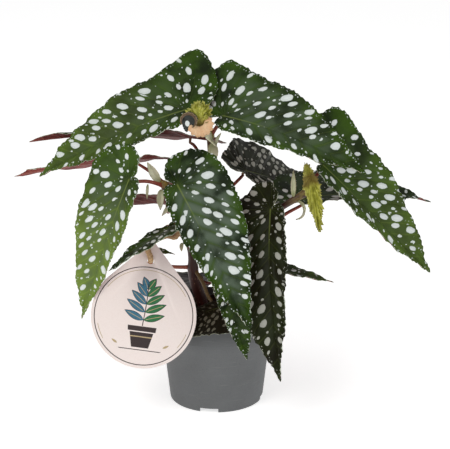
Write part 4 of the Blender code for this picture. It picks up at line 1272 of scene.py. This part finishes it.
def leaflet(base, angle, length, width):
    """A pointed leaf on the tag, from its base outwards."""
    share = np.linspace(0, 1, 12)
    side = width / 2 * np.sin(np.pi * share**0.85) ** 0.9
    outline = [(u * length, v) for u, v in zip(share, side)]
    outline += [(u * length, -v) for u, v in zip(share[::-1][1:-1], side[::-1][1:-1])]
    c, s = math.cos(math.radians(angle)), math.sin(math.radians(angle))
    return [(base[0] + u * c - v * s, base[1] + u * s + v * c) for u, v in outline]


def taper(upper, top, lower, bottom):
    """A bar on the tag, half as wide as upper at its top and lower at its bottom."""
    return (-upper, top), (upper, top), (lower, bottom), (-lower, bottom)


def stroke(points, width):
    """A line of this width through points on the tag."""
    points = np.array(points, float)
    along = np.gradient(points, axis=0)
    along /= np.linalg.norm(along, axis=1)[:, None]
    aside = np.column_stack([-along[:, 1], along[:, 0]]) * width / 2
    return [tuple(p) for p in points + aside] + [tuple(p) for p in (points - aside)[::-1]]


def card_finish(look):
    layers = [((700.0, 4.0, 0.7), (0.4, 0.75), 0.3, paint(232, 216, 208)),
              ((45.0,), (0.4, 0.8), 0.15, paint(244, 238, 232))]
    return mottled("tag_card", look.paper, layers, 0.78, (0.06, 0.6))


def ink_finish(name, colour):
    layers = [((1500.0, 3.0), (0.35, 0.7), 1.0, colour)]
    return mottled(name, [channel * 0.72 for channel in colour], layers, 0.6, (0.02, 0.4))


class BEGONIA_OT_tag(bpy.types.Operator):
    """Adds the card tag with its printed sprig"""

    bl_idname = "begonia.tag"
    bl_label = "Tag"

    def execute(self, context):
        look = context.scene.begonia_tag
        start = math.acos(TAG_RADIUS / TAG_POINT)
        arc = np.linspace(start, math.tau - start, 121)
        outline = [(TAG_RADIUS * math.sin(a), TAG_RADIUS * math.cos(a)) for a in arc]
        slope = math.atan2(math.cos(start), math.sin(start))
        nose = [(-2.6 * math.cos(a), TAG_POINT - 3.2 + 2.6 * math.sin(a))
                for a in np.linspace(slope * 0.9, math.pi - slope * 0.9, 9)]
        card = flat_shape(outline + nose, -TAG_THICKNESS / 2, TAG_THICKNESS)
        drilled(card, TAG_HOLE_RADIUS, 10, (0, TAG_HOLE_UP, 0), sides=40)
        modified(card, "BEVEL", width=0.12 * MM, segments=2, angle_limit=math.radians(50))
        named(card, "tag_card").matrix_world = tag_matrix()
        keep(placed(smoothed(card, 40), card_finish(look)), "tag", "tag")
        for name, colour, shapes in self.prints(look):
            whole = joined([flat_shape(points, TAG_THICKNESS / 2 - 0.01, 0.05 + 0.02 * level)
                            for points, level in shapes], name)
            whole.matrix_world = tag_matrix()
            keep(placed(whole, ink_finish(name + "_ink", colour)), "tag")
        return {"FINISHED"}

    def prints(self, look):
        """The design: a ring border, a sprig in a plain pot with a line under it, and a few gold marks.

        Each shape is an outline and how many layers it lies above the card."""
        stem = [(1.5 * math.sin(t * 2.2), -10 + 43 * t) for t in np.linspace(0, 1, 12)]
        teal, green, dark, veins = [], [], [], []
        for up, angle, length in ((-4, 18, 21), (4, 26, 22), (12, 34, 20), (20, 44, 17), (27, 60, 13)):
            base = (1.5 * math.sin((up + 10) / 43 * 2.2), up)
            for turn, inks in ((180 - angle - 4, teal), (angle, green)):
                inks.append((leaflet(base, turn, length, 6.6), 0))
                dark.append((leaflet(base, turn, length + 0.9, 7.6), -1))
                c, s = math.cos(math.radians(turn)), math.sin(math.radians(turn))
                rib = [(base[0] + c * length * t, base[1] + s * length * t) for t in (0.12, 0.5, 0.86)]
                veins.append((stroke(rib, 0.55), 1))
        dark.append((stroke(stem, 0.9), 0))
        dark += [(ring_strip(49.4, 0.9, i * 90, i * 90 + 90, 40), 0) for i in range(4)]
        collar, body, line = (14.5, -10.5, 14, -15.5), (12, -16.6, 8.6, -32), (22, -34, 20, -34.8)
        dark += [(taper(*sizes), 0) for sizes in (collar, body, line)]
        gold = [(ring_strip(46.4, 0.5, *ends, 40), 0) for ends in ((32, 148), (196, 216), (324, 344))]
        gold.append((taper(11.2, -20.5, 10.9, -21.6), 2))
        gold += [(leaflet((side * 23, -30), 90 - side * 60, 7, 2.2), 0) for side in (-1, 1)]
        return (("tag_print_dark", look.ink, dark), ("tag_print_teal", look.teal, teal),
                ("tag_print_green", look.green, green), ("tag_print_veins", look.gold, veins),
                ("tag_print_gold", look.gold, gold))


def twine_finish(look):
    layers = [((1600.0, 4.0, 0.8), (0.35, 0.7), 1.0, look.twine)]
    return mottled("twine_fibre", paint(176, 140, 98), layers, 0.9, (0.15, 1.0))


class BEGONIA_OT_twine(bpy.types.Operator):
    """Adds the loop of two-ply twine that carries the tag"""

    bl_idname = "begonia.twine"
    bl_label = "Twine"

    def execute(self, context):
        look = context.scene.begonia_tag
        loop = self.path()
        length = np.linalg.norm(np.diff(np.vstack([loop, loop[:1]]), axis=0), axis=1).sum()
        turns = round(length / (look.ply_turn / MM))
        strands = []
        for ply in range(2):
            forward = np.roll(loop, -1, axis=0) - np.roll(loop, 1, axis=0)
            forward /= np.linalg.norm(forward, axis=1)[:, None]
            aside = np.cross(forward, PLY_SIDE)
            aside /= np.linalg.norm(aside, axis=1)[:, None]
            above = np.cross(forward, aside)
            angle = (np.arange(len(loop)) / len(loop) * turns + ply / 2) * math.tau
            points = loop + PLY_AWAY * (aside * np.cos(angle)[:, None] + above * np.sin(angle)[:, None])
            stations = [(*point, PLY_RADIUS) for point in points]
            strands.append(tube(f"ply_{ply}", stations, 10, closed=True))
        twine = joined(strands, "twine_plies")
        keep(placed(smoothed(twine, 60), twine_finish(look)), "twine", "twine_loop")
        return {"FINISHED"}

    def path(self):
        """The loop's middle line, through the hole, over the point and round the petiole."""
        place = tag_matrix()
        front = TAG_THICKNESS / 2 + TWINE_RADIUS + 2 * TWINE_GAP
        route = dict(CANES["cane_left"][1])["leaf_over_tag"]
        start, petiole, end = (Vector(point) for point in route)
        right = Vector((0, 0, 1)).cross(end - start).normalized()
        up = (end - start).cross(right).normalized()
        around = PETIOLE_ROOT + TWINE_RADIUS + TWINE_GAP + 0.4
        in_hole, front_side, back_side = (
            [(place @ (Vector(point) * MM)) / MM for point in points] for points in (
                [(0, TAG_HOLE_UP + y, z) for y, z in ((1, -2.4), (0, 0), (1, 2.4))],
                [(x, y, front) for x, y in TWINE_ON_TAG],
                [(x, y, -front) for x, y in TWINE_ON_TAG]))
        held = petiole.lerp(end, 0.5)
        ring = [held + (right * math.cos(angle) + up * math.sin(angle)) * around
                for angle in np.radians((120, 60, 0, -60, -120))]
        over = np.linspace(front_side[-1], ring[0] - right * 5, 5)[1:]
        under = np.linspace(ring[-1] - right * 5, back_side[-1], 5)
        points = [*in_hole, *front_side, *over, *ring, *under, *back_side[-2::-1]]
        rough = catmull_rom([*points, points[0]], 6)
        return evenly(rough, TWINE_STEPS)[:-1]


class BEGONIA_OT_stage(bpy.types.Operator):
    """Adds the camera, the lights and the pale floor"""

    bl_idname = "begonia.stage"
    bl_label = "Stage"

    def execute(self, context):
        look = context.scene.begonia_stage
        scene = context.scene
        target = Vector(VIEW_TARGET)
        back = Vector((0, -math.cos(look.elevation), math.sin(look.elevation)))
        camera = bpy.data.objects.new("camera", bpy.data.cameras.new("camera"))
        scene.collection.objects.link(camera)
        camera.data.lens = look.lens
        camera.data.sensor_width = SENSOR
        camera.location = target + back * look.distance
        camera.rotation_euler = (-back).to_track_quat("-Z", "Y").to_euler()
        scene.camera = camera
        lights = (
            ("key_light", (-0.9, -1.3, 1.7), look.key, 1.1, (1.0, 0.98, 0.95)),
            ("fill_light", (1.5, -1.0, 0.9), look.fill, 1.4, (0.95, 0.98, 1.0)),
            ("top_light", (0.2, 0.5, 2.0), look.fill, 1.4, (1.0, 1.0, 1.0)),
        )
        for name, place, power, size, colour in lights:
            lamp = bpy.data.lights.new(name, "AREA")
            lamp.energy = power
            lamp.size = size
            lamp.color = colour
            obj = bpy.data.objects.new(name, lamp)
            obj.location = place
            obj.rotation_euler = (Vector((0, 0, 0.18)) - Vector(place)).to_track_quat("-Z", "Y").to_euler()
            scene.collection.objects.link(obj)
        world = bpy.data.worlds.new("studio")
        world.use_nodes = True
        scene.world = world
        nodes, links = world.node_tree.nodes, world.node_tree.links
        sky, backdrop = nodes["Background"], nodes.new("ShaderNodeBackground")
        for light, strength in ((sky, look.sky), (backdrop, 1.0)):
            light.inputs["Color"].default_value = (1, 1, 1, 1)
            light.inputs["Strength"].default_value = strength
        rays = nodes.new("ShaderNodeLightPath")
        mix = nodes.new("ShaderNodeMixShader")
        links.new(rays.outputs["Is Camera Ray"], mix.inputs[0])
        links.new(sky.outputs[0], mix.inputs[1])
        links.new(backdrop.outputs[0], mix.inputs[2])
        links.new(mix.outputs[0], nodes["World Output"].inputs["Surface"])
        floor = added("plane", size=6, location=(0, 0, -0.2 * MM))
        floor.name = "floor"
        g = Graph("pale_floor")
        cloud = g.noise(g.place(), 3.0)
        floor.data.materials.append(g.finish(
            Base_Color=g.mix(cloud, (0.93, 0.93, 0.93), (0.95, 0.95, 0.95)), Roughness=0.9,
            Specular_IOR_Level=0.0, Emission_Color=(1.0, 1.0, 1.0), Emission_Strength=0.62))
        scene.view_settings.view_transform = "Standard"
        return {"FINISHED"}


class BEGONIA_PT_panel(bpy.types.Panel):
    """Lists the begonia's pieces"""

    bl_idname = "BEGONIA_PT_panel"
    bl_label = "Begonia"
    bl_space_type = "VIEW_3D"
    bl_region_type = "UI"
    bl_category = "Begonia"

    def draw(self, context):
        for operator in PIECES:
            self.layout.operator(operator.bl_idname)
        for name, group in SETTINGS.items():
            box = self.layout.box()
            for setting in group.__annotations__:
                box.prop(getattr(context.scene, name), setting)


PIECES = (BEGONIA_OT_pot, BEGONIA_OT_soil, BEGONIA_OT_canes, BEGONIA_OT_leaves, BEGONIA_OT_young_leaves,
          BEGONIA_OT_bracts, BEGONIA_OT_tag, BEGONIA_OT_twine, BEGONIA_OT_stage)
CLASSES = (*SETTINGS.values(), *PIECES, BEGONIA_PT_panel)


def register():
    for made in CLASSES:
        bpy.utils.register_class(made)
    for name, group in SETTINGS.items():
        setattr(bpy.types.Scene, name, PointerProperty(type=group))


def unregister():
    for name in SETTINGS:
        delattr(bpy.types.Scene, name)
    for made in reversed(CLASSES):
        bpy.utils.unregister_class(made)


def main():
    register()
    for operator in PIECES:
        area, name = operator.bl_idname.split(".")
        getattr(getattr(bpy.ops, area), name)()


if __name__ == "__main__":
    main()
